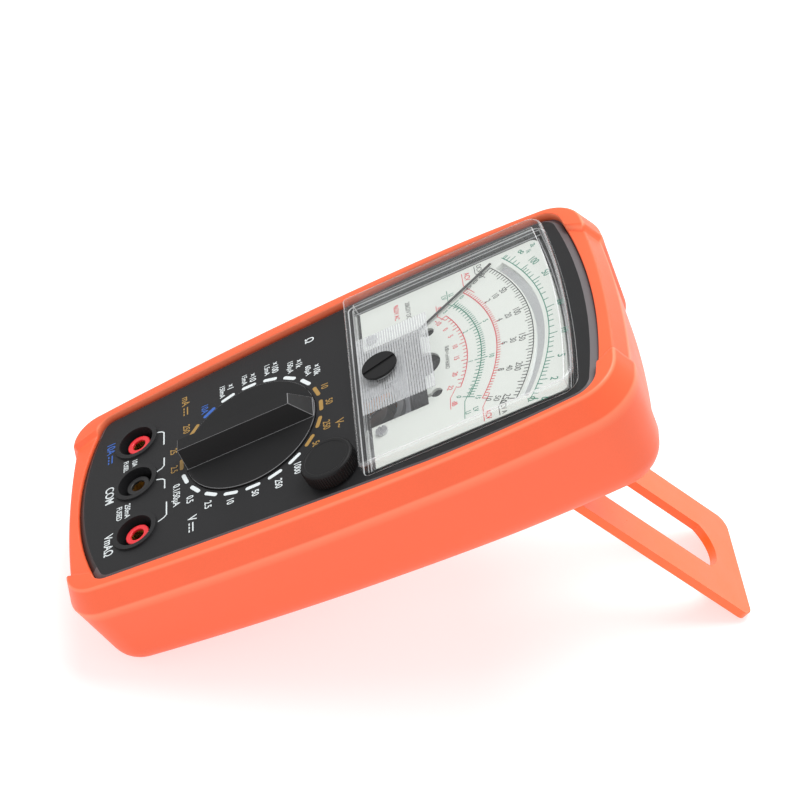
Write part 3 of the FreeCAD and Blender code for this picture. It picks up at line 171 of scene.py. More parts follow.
def plan_points(low, low_end, mid, wide, scale, top, top_end, low_round, top_round):
    """Points round a shell, from the middle of the lower end and anticlockwise: place and outward normal."""
    def flip(spot):
        return (-spot[0], spot[1])

    lower = circle_through(flip(low), (0, low_end), low)
    side = circle_through(low, mid, wide)
    upper_side = circle_through(wide, scale, top)
    upper = circle_through(top, (0, top_end), flip(top))
    low_turn = (nested(lower, side, low_round, low), low_round)
    top_turn = (nested(upper_side, upper, top_round, top), top_round)

    def bearing(arc, spot):
        return math.atan2(spot[1] - arc[0].y, spot[0] - arc[0].x)

    def toward(arc, small):
        return bearing(arc, small[0])

    stretches = [
        (lower, -math.pi / 2, toward(lower, low_turn)),
        (low_turn, toward(lower, low_turn), toward(side, low_turn)),
        (side, toward(side, low_turn), bearing(side, wide)),
        (upper_side, bearing(upper_side, wide), toward(upper_side, top_turn)),
        (top_turn, toward(upper_side, top_turn), toward(upper, top_turn)),
        (upper, toward(upper, top_turn), math.pi / 2),
    ]
    half = []
    for ((centre, radius), start, stop), steps in zip(stretches, PLAN_COUNTS):
        for step in range(steps):
            angle = start + (stop - start) * step / steps
            normal = Vector((math.cos(angle), math.sin(angle)))
            half.append((centre + normal * radius, normal))
    half.append((Vector((0, top_end)), Vector((0, 1))))
    mirrored = [(Vector((-p.x, p.y)), Vector((-n.x, n.y))) for p, n in reversed(half[1:-1])]
    return half + mirrored


holster_plan = plan_points(**HOLSTER_PLAN)
case_plan = plan_points(**CASE_PLAN)


def piece_from(name, verts, faces):
    """New object from points in the meter's axes, its place put in its mesh."""
    mesh = bpy.data.meshes.new(name)
    mesh.from_pydata([METER @ Vector(v) for v in verts], [], faces)
    made = bpy.data.objects.new(name, mesh)
    bpy.context.scene.collection.objects.link(made)
    return made


def smooth(piece, angle=35.0):
    """Shade smoothly across edges flatter than angle."""
    for face in piece.data.polygons:
        face.use_smooth = True
    piece.data.set_sharp_from_angle(angle=math.radians(angle))
    return piece


def ridden(piece, body, slot, finish, *nodes):
    """Give a finished piece its material, its body and the CAD nodes that it stands for."""
    piece.data.materials.clear()
    piece.data.materials.append(finish)
    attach(piece, body)
    if nodes:
        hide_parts(*nodes)
    return piece


def node_at(tree, kind, links=(), **values):
    """New shader node; values set its properties or its named inputs."""
    made = tree.nodes.new(kind)
    for name, value in values.items():
        if hasattr(made, name):
            setattr(made, name, value)
        else:
            made.inputs[name.replace("_", " ")].default_value = value
    for socket, source in links:
        tree.links.new(source, made.inputs[socket])
    return made


def moulded(name, colour, rough, grain=0.35, depth=0.006, wander=0.06, cloud=9.0, metal=0.0,
            stretch=(1, 1, 1), coat=0.0, specular=0.5, painted_highlight=None):
    """Solid finish: grain and depth of its surface and size of its cloudiness in mm; wander is the spread
    of its colour; the last argument is a painted highlight: a lighter colour painted where the piece's own
    highlight attribute is high."""
    made = bpy.data.materials.new(name)
    made.use_nodes = True
    tree = made.node_tree
    shader = tree.nodes["Principled BSDF"]
    place = node_at(tree, "ShaderNodeTexCoord").outputs["Object"]
    turned = node_at(tree, "ShaderNodeMapping", [("Vector", place)], Rotation=(-LEAN, 0, 0),
                     Scale=[1 / (MM * s) for s in stretch]).outputs["Vector"]
    fine, slow = (node_at(tree, "ShaderNodeTexNoise", [("Vector", turned)], Scale=1 / size,
                          Detail=detail).outputs["Fac"] for size, detail in ((grain, 3.0), (cloud, 4.0)))
    both = node_at(tree, "ShaderNodeMath", [(0, fine), (1, slow)], operation="ADD").outputs[0]
    tint = node_at(tree, "ShaderNodeMapRange", [("Value", both)], From_Min=0.6, From_Max=1.4)
    ramp = node_at(tree, "ShaderNodeValToRGB", [("Fac", tint.outputs["Result"])])
    for stop, level in zip(ramp.color_ramp.elements, (1 - wander, 1 + wander)):
        stop.color = (*(min(c * level, 1.0) for c in colour), 1)
    shade = ramp.outputs["Color"]
    # Painted highlight: a lighter colour mixed in where the piece's highlight attribute is high.
    if painted_highlight:
        edge = node_at(tree, "ShaderNodeAttribute", attribute_name="painted_highlight").outputs["Fac"]
        shade = node_at(tree, "ShaderNodeMix", [("Factor", edge), (6, shade)], data_type="RGBA")
        shade.inputs[7].default_value = (*painted_highlight, 1)
        shade = shade.outputs[2]
    tree.links.new(shade, shader.inputs["Base Color"])
    dull = node_at(tree, "ShaderNodeMapRange", [("Value", both)], From_Min=0.6, From_Max=1.4,
                   To_Min=max(rough - 0.07, 0.02), To_Max=min(rough + 0.07, 1.0))
    tree.links.new(dull.outputs["Result"], shader.inputs["Roughness"])
    bump = node_at(tree, "ShaderNodeBump", [("Height", fine)], Strength=1.0, Distance=depth * MM)
    tree.links.new(bump.outputs["Normal"], shader.inputs["Normal"])
    shader.inputs["Metallic"].default_value = metal
    shader.inputs["Coat Weight"].default_value = coat
    shader.inputs["Specular IOR Level"].default_value = specular
    return made


def back_height(y):
    """The holster's flat back slopes a little, so that it is deeper at the upper end."""
    return BACK_START - BACK_FALL * (y - BACK_FROM) / BACK_RUN


def bumper_ease(x):
    """0 on the lower middle stretch of an end, 1 on the corner bumpers, with a soft step between."""
    share = min(max((abs(x) - BUMPER_START) / BUMPER_STEP + 0.5, 0.0), 1.0)
    return share * share * (3 - 2 * share)


def holster_section(case_spot, case_way, spot, way):
    """Points down one section of the holster, from the floor inside over the lip and rim to the back."""
    at_end = abs(way.y) > END_FACING
    low = (1 - bumper_ease(spot.x)) if at_end else 0.0
    rim = RIM_TOP - END_DROP * low
    hollow = END_HOLLOW * low

    def inner(out, z):
        place = case_spot + case_way * out
        return (place.x, place.y, z)

    def outer(out, z):
        place = spot + way * (out - hollow)
        return (place.x, place.y, z)

    slope = CREASE_RUN / (RIM_TOP - CREASE)
    shoulder = -CREASE_RUN + slope * (RIM_TOP - rim)
    rows = [inner(out, z) for out, z in LIP]
    rows += [inner(out, rim + z) for out, z in RIM_INSIDE]
    rows += [outer(shoulder + out, rim + z) for out, z in RIM_OUTSIDE]
    rows += [outer(-CREASE_RUN + slope * (RIM_TOP - z), z) for z in SLOPE_HEIGHTS]
    rows += [outer(out, CREASE + z) for out, z in CREASE_TURN]
    back = back_height(spot.y)
    turn_z = back + BACK_ROUND * (1 - math.sin(DRAFT_ANGLE))
    wall = [CREASE + (turn_z - CREASE) * step / WALL_STEPS for step in range(1, WALL_STEPS)]
    rows += [outer(-DRAFT * (CREASE - z), z) for z in wall]
    turn_out = -DRAFT * (CREASE - turn_z) - BACK_ROUND * math.cos(DRAFT_ANGLE)
    for step in range(ROUND_STEPS + 1):
        angle = -DRAFT_ANGLE - (math.pi / 2 - DRAFT_ANGLE) * step / ROUND_STEPS
        rows.append(outer(turn_out + BACK_ROUND * math.cos(angle),
                          back + BACK_ROUND + BACK_ROUND * math.sin(angle)))
    return rows


def lofted(name, sections):
    """Closed skin through equal sections, capped at both ends of the section."""
    depth, count = len(sections[0]), len(sections)
    verts = [spot for section in sections for spot in section]
    faces = []
    for i in range(count):
        here, there = i * depth, (i + 1) % count * depth
        faces += [(here + k, here + k + 1, there + k + 1, there + k) for k in range(depth - 1)]
    faces.append([i * depth for i in range(count)])
    faces.append([i * depth + depth - 1 for i in reversed(range(count))])
    return piece_from(name, verts, faces)


def outward(piece):
    """Make every face of a closed piece point outwards."""
    skin = bmesh.new()
    skin.from_mesh(piece.data)
    bmesh.ops.remove_doubles(skin, verts=skin.verts, dist=1e-7)
    bmesh.ops.recalc_face_normals(skin, faces=skin.faces)
    skin.to_mesh(piece.data)
    skin.free()
    return piece


def carved(piece, *tools):
    """Cut tools out of a piece and throw them away."""
    for tool in tools:
        cut = piece.modifiers.new("cut", "BOOLEAN")
        cut.operation, cut.solver, cut.object = "DIFFERENCE", "EXACT", tool
        bpy.context.view_layer.update()
        mesh = bpy.data.meshes.new_from_object(piece.evaluated_get(bpy.context.evaluated_depsgraph_get()))
        piece.modifiers.clear()
        piece.data = mesh
        bpy.data.objects.remove(tool)
    return piece


def slab(name, x, y, z):
    """Plain block used as a cutting tool or a blank."""
    verts = [(i, j, k) for k in z for j in y for i in x]
    return piece_from(name, verts, [(0, 2, 3, 1), (4, 5, 7, 6), (0, 1, 5, 4), (2, 6, 7, 3), (0, 4, 6, 2),
                                    (1, 3, 7, 5)])


holster = outward(lofted("holster_skin", [holster_section(c, cn, s, sn) for (c, cn), (s, sn)
                                          in zip(case_plan, holster_plan)]))
bay = slab("bay_tool", (-BAY_HALF, BAY_HALF), (BAY_LOW, BAY_HIGH), (0.0, 1.0))
for corner in bay.data.vertices:
    spot = TO_METER @ corner.co
    above_back = BAY_FLOOR if spot.z > 0.5 else -BAY_OPEN
    corner.co = METER @ Vector((spot.x, spot.y, back_height(spot.y) + above_back))
hinge = in_meter("stand_fold")


def bar_along_x(name, radius, half, y, z, sides=32):
    """Round bar along X, closed at both ends."""
    ring = [(radius * math.cos(math.tau * k / sides), radius * math.sin(math.tau * k / sides))
            for k in range(sides)]
    verts = [(x, y + a, z + b) for x in (-half, half) for a, b in ring]
    faces = [(k, (k + 1) % sides, sides + (k + 1) % sides, sides + k) for k in range(sides)]
    faces += [list(reversed(range(sides))), list(range(sides, 2 * sides))]
    return outward(piece_from(name, verts, faces))


hinge_bore = bar_along_x("hinge_tool", HINGE_BORE_R, HINGE_BORE_HALF, hinge.y, hinge.z)
holster = carved(holster, outward(bay), hinge_bore)
# Painted highlight: points in those two bands are marked to be painted the lighter orange.
painted_highlight = holster.data.attributes.new("painted_highlight", "FLOAT", "POINT")
for vertex, value in zip(holster.data.vertices, painted_highlight.data):
    height = (TO_METER @ vertex.co).z
    value.value = HIGHLIGHT_STRENGTH if any(low < height < high for low, high in HIGHLIGHT_BANDS) else 0.0
# The lighter orange of the holster's painted highlights.
HIGHLIGHT_ORANGE = (0.97, 0.3, 0.16)
holster_rubber = moulded("holster_rubber", HOLSTER_ORANGE, 0.42, grain=0.5, depth=0.004, wander=0.03,
                         cloud=14, specular=0.35, painted_highlight=HIGHLIGHT_ORANGE)
ridden(smooth(holster, 40), "case", "holster_rubber", holster_rubber, "holster")

# ---- Tilt stand
# A flat frame of glossy orange plastic, moulded in one with the two trunnions that snap into the holster.
# Its edges are eased all round, and an arched window keeps it light.
STAND_ORANGE = (0.93, 0.14, 0.025)
EASE_STEPS, EASED_ABOVE = 3, math.radians(32)


def eased(node, width, pierced=False, highlit_edges=False):
    """A moulded or turned piece: the drawn shape with its sharp edges eased by width mm. A pierced one keeps
    the triangles of its flat faces, which couldn't be one face round a hole. With the last argument, its
    eased edges get the highlight attribute, for a painted highlight."""
    mesh = frame["nodes"][node].data.copy()
    made = bpy.data.objects.new(node + "_eased", mesh)
    bpy.context.scene.collection.objects.link(made)
    skin = bmesh.new()
    skin.from_mesh(mesh)
    bmesh.ops.remove_doubles(skin, verts=skin.verts, dist=2e-6)
    if not pierced:
        bmesh.ops.dissolve_limit(skin, angle_limit=math.radians(0.4), verts=skin.verts, edges=skin.edges)
    skin.to_mesh(mesh)
    skin.free()
    smooth(made)
    bevel = made.modifiers.new("eased", "BEVEL")
    bevel.width, bevel.segments = width * MM, EASE_STEPS
    bevel.limit_method, bevel.angle_limit = "ANGLE", EASED_ABOVE
    bevel.use_clamp_overlap = not highlit_edges
    if highlit_edges:
        while len(mesh.materials) < 2:
            mesh.materials.append(None)
        bevel.material = 1
    flatten = made.modifiers.new("flat_faces", "WEIGHTED_NORMAL")
    flatten.weight, flatten.keep_sharp = 100, True
    bpy.context.view_layer.update()
    made.data = bpy.data.meshes.new_from_object(made.evaluated_get(bpy.context.evaluated_depsgraph_get()))
    made.modifiers.clear()
    # Painted highlight: the eased edges are marked to be painted lighter.
    if highlit_edges:
        edge_highlight_values = made.data.attributes.new("painted_highlight", "FLOAT", "FACE")
        for face, value in zip(made.data.polygons, edge_highlight_values.data):
            value.value = HIGHLIGHT_STRENGTH if face.material_index == 1 else 0.0
            face.material_index = 0
    return made


def dressed(finish, *nodes):
    """Give drawn pieces that keep their shape their real finish."""
    for node in nodes:
        mesh = frame["nodes"][node].data
        for index in range(len(mesh.materials)):
            mesh.materials[index] = finish
        if not mesh.materials:
            mesh.materials.append(finish)


stand_plastic = moulded("stand_plastic", STAND_ORANGE, 0.34, grain=0.6, depth=0.003, wander=0.03)
ridden(eased("tilt_stand", 0.5, pierced=True), "stand", "stand_plastic", stand_plastic, "tilt_stand")

# ---- Case halves
# Two mouldings of charcoal plastic with a fine sparked texture, joined by four screws from behind.
# The front half carries the panel, whose sloping bevelled edge is painted a lighter grey as a highlight.
CHARCOAL = (0.0125, 0.0125, 0.0135)
BEVEL_HIGHLIGHT = (0.1, 0.09, 0.095)
BEVEL_LOW, BEVEL_HIGH, BEVEL_FACING = -1.6, -0.05, 0.3
WELLS_TOP, WELLS_HALF, WELLS_MIDDLE, WELLS_REACH = -27.0, 28.0, -36.0, 30.0


def on_panel_bevel(face):
    """True on the sloping edge round the panel, and not in the wells round the sockets."""
    spot = TO_METER @ face.center
    from_wells = math.hypot(spot.x, spot.y - WELLS_MIDDLE)
    if spot.y < WELLS_TOP and abs(spot.x) < WELLS_HALF and from_wells <= WELLS_REACH:
        return False
    return BEVEL_LOW < spot.z < BEVEL_HIGH and face.normal.dot(out_of_face) > BEVEL_FACING


case_plastic = moulded("case_plastic", CHARCOAL, 0.5, grain=0.22, depth=0.008, wander=0.14, specular=0.3,
                       painted_highlight=BEVEL_HIGHLIGHT)
front_case = eased("front_case", 0.25, pierced=True)
# Painted highlight: the panel's bevel is marked to be painted a lighter grey.
bevel_highlight = front_case.data.attributes.new("painted_highlight", "FLOAT", "FACE")
for face, value in zip(front_case.data.polygons, bevel_highlight.data):
    value.value = 1.0 if on_panel_bevel(face) else 0.0
ridden(front_case, "case", "case_plastic", case_plastic, "front_case")
dressed(case_plastic, "rear_case")
steel = moulded("steel", (0.6, 0.6, 0.62), 0.3, grain=0.3, depth=0.002, metal=1.0, stretch=(6, 1, 1))
dressed(steel, "case_screws", "board_screws")

# ---- Range marks on the panel
# Screen-printed ink: white for ohms and DC volts, gold for AC volts and milliamps, blue for the 10 A range.
# The twenty rounded dashes stand one to each click of the switch.
INK_WHITE, INK_GOLD, INK_BLUE = (0.66, 0.7, 0.71), (0.34, 0.2, 0.05), (0.03, 0.11, 0.42)
INK_THICK = 0.03
CLICK = 18.0
TOP_POSITION = 7
DASH_RING, DASH_LONG, DASH_WIDE = 21.55, 4.5, 1.2
CAP_SHARE, LETTER_NARROW = 0.7, 0.8
FONT_DEPTH, FONT_STEPS = 0.02, 6


def ink(name, colour):
    return moulded(name, colour, 0.55, grain=0.12, depth=0.002, wander=0.05, cloud=3.0)


ink_white = ink("ink_white", INK_WHITE)
ink_gold = ink("ink_gold", INK_GOLD)
ink_blue = ink("ink_blue", INK_BLUE)


def merged(name, parts):
    """One mesh of several, each moved by its own matrix in the meter's axes."""
    skin = bmesh.new()
    for mesh, place in parts:
        before = len(skin.verts)
        skin.from_mesh(mesh)
        skin.verts.ensure_lookup_table()
        bmesh.ops.transform(skin, matrix=METER @ place, verts=skin.verts[before:])
    mesh = bpy.data.meshes.new(name)
    skin.to_mesh(mesh)
    skin.free()
    made = bpy.data.objects.new(name, mesh)
    bpy.context.scene.collection.objects.link(made)
    return made


def lettering(name, z, words, weight=0.0):
    """Raised print: each of words is text, x, y, cap height in mm and turn in degrees."""
    parts = []
    for text, x, y, high, turn in words:
        curve = bpy.data.curves.new("word", "FONT")
        curve.body, curve.align_x, curve.align_y = text, "CENTER", "CENTER"
        curve.extrude, curve.offset, curve.resolution_u = FONT_DEPTH / 2, weight, FONT_STEPS
        holder = bpy.data.objects.new("word", curve)
        bpy.context.scene.collection.objects.link(holder)
        bpy.context.view_layer.update()
        mesh = bpy.data.meshes.new_from_object(holder.evaluated_get(bpy.context.evaluated_depsgraph_get()))
        bpy.data.objects.remove(holder)
        big = high / CAP_SHARE
        size = Matrix.Diagonal((big * LETTER_NARROW, big, INK_THICK / FONT_DEPTH, 1))
        place = Matrix.Translation((x, y, z + INK_THICK / 2)) @ Matrix.Rotation(math.radians(turn), 4, "Z")
        parts.append((mesh, place @ size))
    return merged(name, parts)


def repeated(name, ring):
    """Node tree that sets copies of a part round a ring, or along a row, and gives them a finish."""
    tree = bpy.data.node_groups.new(name, "GeometryNodeTree")
    face = tree.interface
    face.new_socket("Geometry", in_out="OUTPUT", socket_type="NodeSocketGeometry")
    for label, kind in (("Part", "Object"), ("Count", "Int"), ("Radius", "Float"), ("Start", "Float"),
                        ("Step", "Float"), ("Finish", "Material")):
        face.new_socket(label, in_out="INPUT", socket_type="NodeSocket" + kind)
    given = tree.nodes.new("NodeGroupInput").outputs
    index = tree.nodes.new("GeometryNodeInputIndex").outputs[0]
    away = node_at(tree, "ShaderNodeMath", [(0, index), (1, given["Step"])], operation="MULTIPLY").outputs[0]
    spot = node_at(tree, "ShaderNodeMath", [(0, away), (1, given["Start"])], operation="ADD").outputs[0]
    at = tree.nodes.new("ShaderNodeCombineXYZ")
    if ring:
        for socket, operation in (("X", "COSINE"), ("Y", "SINE")):
            share = node_at(tree, "ShaderNodeMath", [(0, spot)], operation=operation).outputs[0]
            reach = node_at(tree, "ShaderNodeMath", [(0, share), (1, given["Radius"])], operation="MULTIPLY")
            tree.links.new(reach.outputs[0], at.inputs[socket])
    else:
        tree.links.new(given["Radius"], at.inputs["X"])
        tree.links.new(spot, at.inputs["Y"])
    points = node_at(tree, "GeometryNodePoints", [("Count", given["Count"]), ("Position", at.outputs[0])])
    part = node_at(tree, "GeometryNodeObjectInfo", [("Object", given["Part"])])
    copies = node_at(tree, "GeometryNodeInstanceOnPoints",
                     [("Points", points.outputs[0]), ("Instance", part.outputs["Geometry"])])
    if ring:
        facing = tree.nodes.new("ShaderNodeCombineXYZ")
        tree.links.new(spot, facing.inputs["Z"])
        tree.links.new(facing.outputs[0], copies.inputs["Rotation"])
    real = node_at(tree, "GeometryNodeRealizeInstances", [("Geometry", copies.outputs[0])])
    finished = node_at(tree, "GeometryNodeSetMaterial",
                       [("Geometry", real.outputs[0]), ("Material", given["Finish"])])
    tree.links.new(finished.outputs[0], tree.nodes.new("NodeGroupOutput").inputs[0])
    return tree


ring_tree, row_tree = repeated("round_a_ring", True), repeated("along_a_row", False)


def copies_of(name, tree, part, finish, place, **values):
    """Run the tree on a part drawn in mm about the origin, and put the copies at place on the meter."""
    holder = bpy.data.objects.new(name, bpy.data.meshes.new(name))
    bpy.context.scene.collection.objects.link(holder)
    maker = holder.modifiers.new("copies", "NODES")
    maker.node_group = tree
    sockets = {item.name: item.identifier for item in tree.interface.items_tree if item.in_out == "INPUT"}
    for label, value in dict(values, Part=part, Finish=finish).items():
        maker[sockets[label]] = value
    bpy.context.view_layer.update()
    mesh = bpy.data.meshes.new_from_object(holder.evaluated_get(bpy.context.evaluated_depsgraph_get()))
    holder.modifiers.clear()
    mesh.transform(METER @ place)
    mesh.name = name
    holder.data = mesh
    return holder


def prism(name, outline, low, high):
    """Straight solid over a plan, in mm about the origin."""
    count = len(outline)
    verts = [(x, y, z) for z in (low, high) for x, y in outline]
    faces = [(k, (k + 1) % count, count + (k + 1) % count, count + k) for k in range(count)]
    faces += [list(reversed(range(count))), list(range(count, 2 * count))]
    mesh = bpy.data.meshes.new(name)
    mesh.from_pydata(verts, [], faces)
    made = bpy.data.objects.new(name, mesh)
    bpy.context.scene.collection.objects.link(made)
    return made


def box_plan(wide, long):
    return [(-wide / 2, -long / 2), (wide / 2, -long / 2), (wide / 2, long / 2), (-wide / 2, long / 2)]


def capsule_plan(wide, long, steps=8):
    """Rounded-end dash standing along Y."""
    r, straight = wide / 2, (long - wide) / 2
    turn = [(r * math.cos(math.pi * k / steps), r * math.sin(math.pi * k / steps)) for k in range(steps + 1)]
    return [(x, y + straight) for x, y in turn] + [(-x, -y - straight) for x, y in turn]


dash = prism("dash", capsule_plan(DASH_WIDE, DASH_LONG), 0.0, INK_THICK)
DASH_GROUPS = [
    # name, first position, how many, ink
    ("dash_ten_amp", 0, 1, ink_blue),
    ("dashes_ohm", 1, 5, ink_white),
    ("dashes_ac", 6, 4, ink_gold),
    ("dashes_dc", 10, 7, ink_white),
    ("dashes_milliamp", 17, 3, ink_gold),
]
for name, first, count, finish in DASH_GROUPS:
    start = math.radians(90 - (first - TOP_POSITION) * CLICK)
    row = copies_of(name, ring_tree, dash, finish, Matrix.Identity(4), Count=count, Radius=DASH_RING,
                    Start=start, Step=-math.radians(CLICK))
    ridden(row, "case", "case_plastic", finish)
bpy.data.objects.remove(dash)

WHITE_WORDS = [
    # text, x, y, cap height, turn in degrees
    ("Ω", -30.6, 19.3, 2.6, 0),
    ("×10k", -16.2, 21.0, 2.0, 0), ("60µA", -17.3, 18.4, 1.7, 0),
    ("×1k", -22.2, 15.7, 2.0, 0), ("150µA", -22.2, 13.0, 1.7, 0),
    ("×100", -25.1, 8.3, 2.0, 0), ("1.5mA", -25.5, 5.8, 1.6, 0),
    ("×10", -24.9, 1.2, 2.0, 0), ("15mA", -25.4, -1.4, 1.6, 0),
    ("×1", -25.0, -5.9, 2.0, 0), ("150mA", -24.3, -8.5, 1.6, 0),
    ("1000", 21.6, 13.3, 2.1, 0), ("250", 24.7, 7.5, 2.1, 0), ("50", 24.5, 0.5, 2.1, 0),
    ("10", 23.6, -7.0, 2.1, 0), ("2.5", 21.3, -13.7, 2.1, 0), ("0.5", 16.0, -19.2, 2.1, 0),
    ("0.1/50µA", 11.9, -23.3, 2.1, 0),
    ("V", 24.0, -18.6, 2.8, 0),
    ("COM", 0.2, -44.5, 2.7, 0), ("VmAΩ", 20.8, -44.4, 2.7, 0),
    ("10A", -9.5, -36.6, 1.6, 0), ("FUSED", -9.2, -39.4, 1.5, 0),
    ("250mA", 9.7, -38.6, 1.7, 0), ("FUSED", 9.6, -41.2, 1.7, 0),
]
GOLD_WORDS = [
    ("10", -7.6, 22.9, 2.1, 0), ("50", -0.2, 23.9, 2.1, 0), ("250", 9.2, 22.6, 2.1, 0),
    ("500", 15.8, 19.1, 2.1, 0),
    ("V~", 10.8, 26.4, 2.6, 0),
    ("mA", -27.3, -20.3, 2.5, 0), ("250", -14.6, -20.1, 2.1, 0), ("25", -7.1, -24.2, 2.1, 0),
    ("2.5", 0.7, -24.0, 2.1, 0),
]
BLUE_WORDS = [("10A", -20.0, -14.2, 2.1, 0), ("10A", -20.3, -44.5, 2.6, 0)]


def direct_mark(x, y, wide):
    """The sign for direct current: a line over three dashes."""
    high, lift, gap = 0.36, 0.55, wide / 8
    short = (wide - 2 * gap) / 3
    bars = [(prism("bar", box_plan(wide, high), 0, INK_THICK), (x, y + lift))]
    bars += [(prism("bar", box_plan(short, high), 0, INK_THICK), (x + k * (short + gap), y - lift))
             for k in (-1, 0, 1)]
    return bars


def joined(name, *pieces):
    """Several pieces made one, keeping their places."""
    parts = [(piece.data, TO_METER) for piece in pieces]
    made = merged(name, parts)
    for piece in pieces:
        bpy.data.objects.remove(piece)
    return made


def marks(name, solids):
    """Small solids drawn about the origin, set out on the face."""
    made = merged(name, [(solid.data, Matrix.Translation((x, y, 0))) for solid, (x, y) in solids])
    for solid, _ in solids:
        bpy.data.objects.remove(solid)
    return made


def traced(path, stroke):
    """Printed line of width stroke along a path of points."""
    last = len(path) - 1
    spots = [Vector(spot) for spot in path]
    bends = [(spots[min(k + 1, last)] - spots[max(k - 1, 0)]).normalized() for k in range(last + 1)]
    sides = [Vector((-bend.y, bend.x)) * stroke / 2 for bend in bends]
    plan = [spot - side for spot, side in zip(spots, sides)]
    plan += [spot + side for spot, side in reversed(list(zip(spots, sides)))]
    return prism("line", plan, 0, INK_THICK)


def bracket(x, y, along):
    """Half of the line that ties two sockets together, from its slanted foot at x, y to its inner end."""
    rise, foot, knee, drop, stroke = 2.6, 0.7, 1.5, 0.8, 0.4
    way = math.copysign(1, along)
    return traced([(0, 0), (foot * way, rise - drop), (knee * way, rise), (along, rise)], stroke), (x, y)


BRACKETS = [bracket(-18.9, -29.8, 6.8), bracket(-1.4, -29.7, -4.9), bracket(1.8, -29.5, 5.1),
            bracket(19.6, -28.9, -6.8)]
white_marks = joined("marks_white", lettering("white_words", 0.0, WHITE_WORDS, weight=0.012),
                     marks("white_bars", direct_mark(27.5, -18.8, 3.6) + BRACKETS))
gold_marks = joined("marks_gold", lettering("gold_words", 0.0, GOLD_WORDS, weight=0.008),
                    marks("gold_bars", direct_mark(-22.6, -20.2, 3.4)))
blue_marks = joined("marks_blue", lettering("blue_words", 0.0, BLUE_WORDS, weight=0.008),
                    marks("blue_bars", direct_mark(-15.4, -44.5, 3.4)))
for piece, finish in ((white_marks, ink_white), (gold_marks, ink_gold), (blue_marks, ink_blue)):
    ridden(piece, "case", "case_plastic", finish)

# ---- Sockets
# Each brass sleeve stands in a well of the panel, shrouded by a coloured collar: red for the two live
# sockets and black for the common one.
brass = moulded("brass", (0.78, 0.55, 0.2), 0.28, grain=0.25, depth=0.002, metal=1.0)
red_plastic = moulded("red_plastic", (0.75, 0.02, 0.03), 0.28, grain=0.5, depth=0.002, wander=0.05, coat=0.3)
black_plastic = moulded("black_plastic", (0.012, 0.012, 0.013), 0.32, grain=0.5, depth=0.003, wander=0.2)
COLLARS = [("ten_amp", "red_plastic", red_plastic), ("common", "black_plastic", black_plastic),
           ("volt_ohm", "red_plastic", red_plastic)]
for place, slot, finish in COLLARS:
    ridden(eased(f"jack_collar_{place}", 0.22, pierced=True), "case", slot, finish, f"jack_collar_{place}")
    dressed(brass, f"jack_sleeve_{place}")

# ---- Range knob and switch
# A satin black disc with a tall pinched grip bar, moulded in one. Under the panel its hub carries the
# rotor, whose sprung balls click into the ring's twenty notches.
# The second colour is a painted highlight for the knob's edges.
KNOB_BLACK, KNOB_EDGE_HIGHLIGHT = (0.014, 0.014, 0.0145), (0.36, 0.36, 0.37)
knob_plastic = moulded("knob_plastic", KNOB_BLACK, 0.5, grain=0.3, depth=0.004, wander=0.1, specular=0.15,
                       painted_highlight=KNOB_EDGE_HIGHLIGHT)
# Painted highlight: the eased edges of the disc and grip bar are painted a light grey.
knob = eased("selector_knob", 0.13, pierced=True, highlit_edges=True)
ridden(knob, "selector", "knob_plastic", knob_plastic, "selector_knob")
rotor_plastic = moulded("rotor_plastic", (0.75, 0.74, 0.7), 0.4, grain=0.5, depth=0.003)
spring_bronze = moulded("spring_bronze", (0.7, 0.45, 0.22), 0.3, grain=0.2, depth=0.001, metal=1.0)
dressed(rotor_plastic, "selector_rotor", "detent_ring")
dressed(steel, "knob_screw", "detent_ball_a", "detent_ball_b", "detent_spring_a", "detent_spring_b")
dressed(spring_bronze, "wiper_contacts")

# ---- Zero-ohm wheel
# A black thumbwheel with a fine straight knurl, pressed on the adjuster's shaft.
WHEEL_CORE, WHEEL_EDGE, WHEEL_DISH, WHEEL_SIDES = 7.35, 6.9, 6.0, 96
WHEEL_HUB, WHEEL_FOOT, WHEEL_LOW, WHEEL_HIGH = 3.0, -2.2, 0.35, 4.9
RIB_OUT, RIB_ROOT, RIB_SUNK, WHEEL_RIBS = 0.3, 0.22, 0.1, 64
wheel_at = in_meter("ohm_adjust_turn")


def turned(name, profile, sides, place):
    """Closed turned piece: profile runs from the axis to the axis as (radius, height)."""
    turns = [math.tau * k / sides for k in range(sides)]
    verts = [(r * math.cos(turn), r * math.sin(turn), z) for r, z in profile[1:-1] for turn in turns]
    faces = []
    rings = len(profile) - 2
    for ring in range(rings - 1):
        for k in range(sides):
            j = (k + 1) % sides
            faces.append((ring * sides + k, ring * sides + j, (ring + 1) * sides + j, (ring + 1) * sides + k))
    foot, crown = len(verts), len(verts) + 1
    verts += [(0, 0, profile[0][1]), (0, 0, profile[-1][1])]
    last = (rings - 1) * sides
    faces += [(foot, (k + 1) % sides, k) for k in range(sides)]
    faces += [(crown, last + k, last + (k + 1) % sides) for k in range(sides)]
    mesh = bpy.data.meshes.new(name)
    mesh.from_pydata(verts, [], faces)
    mesh.transform(METER @ place)
    made = bpy.data.objects.new(name, mesh)
    bpy.context.scene.collection.objects.link(made)
    return outward(made)


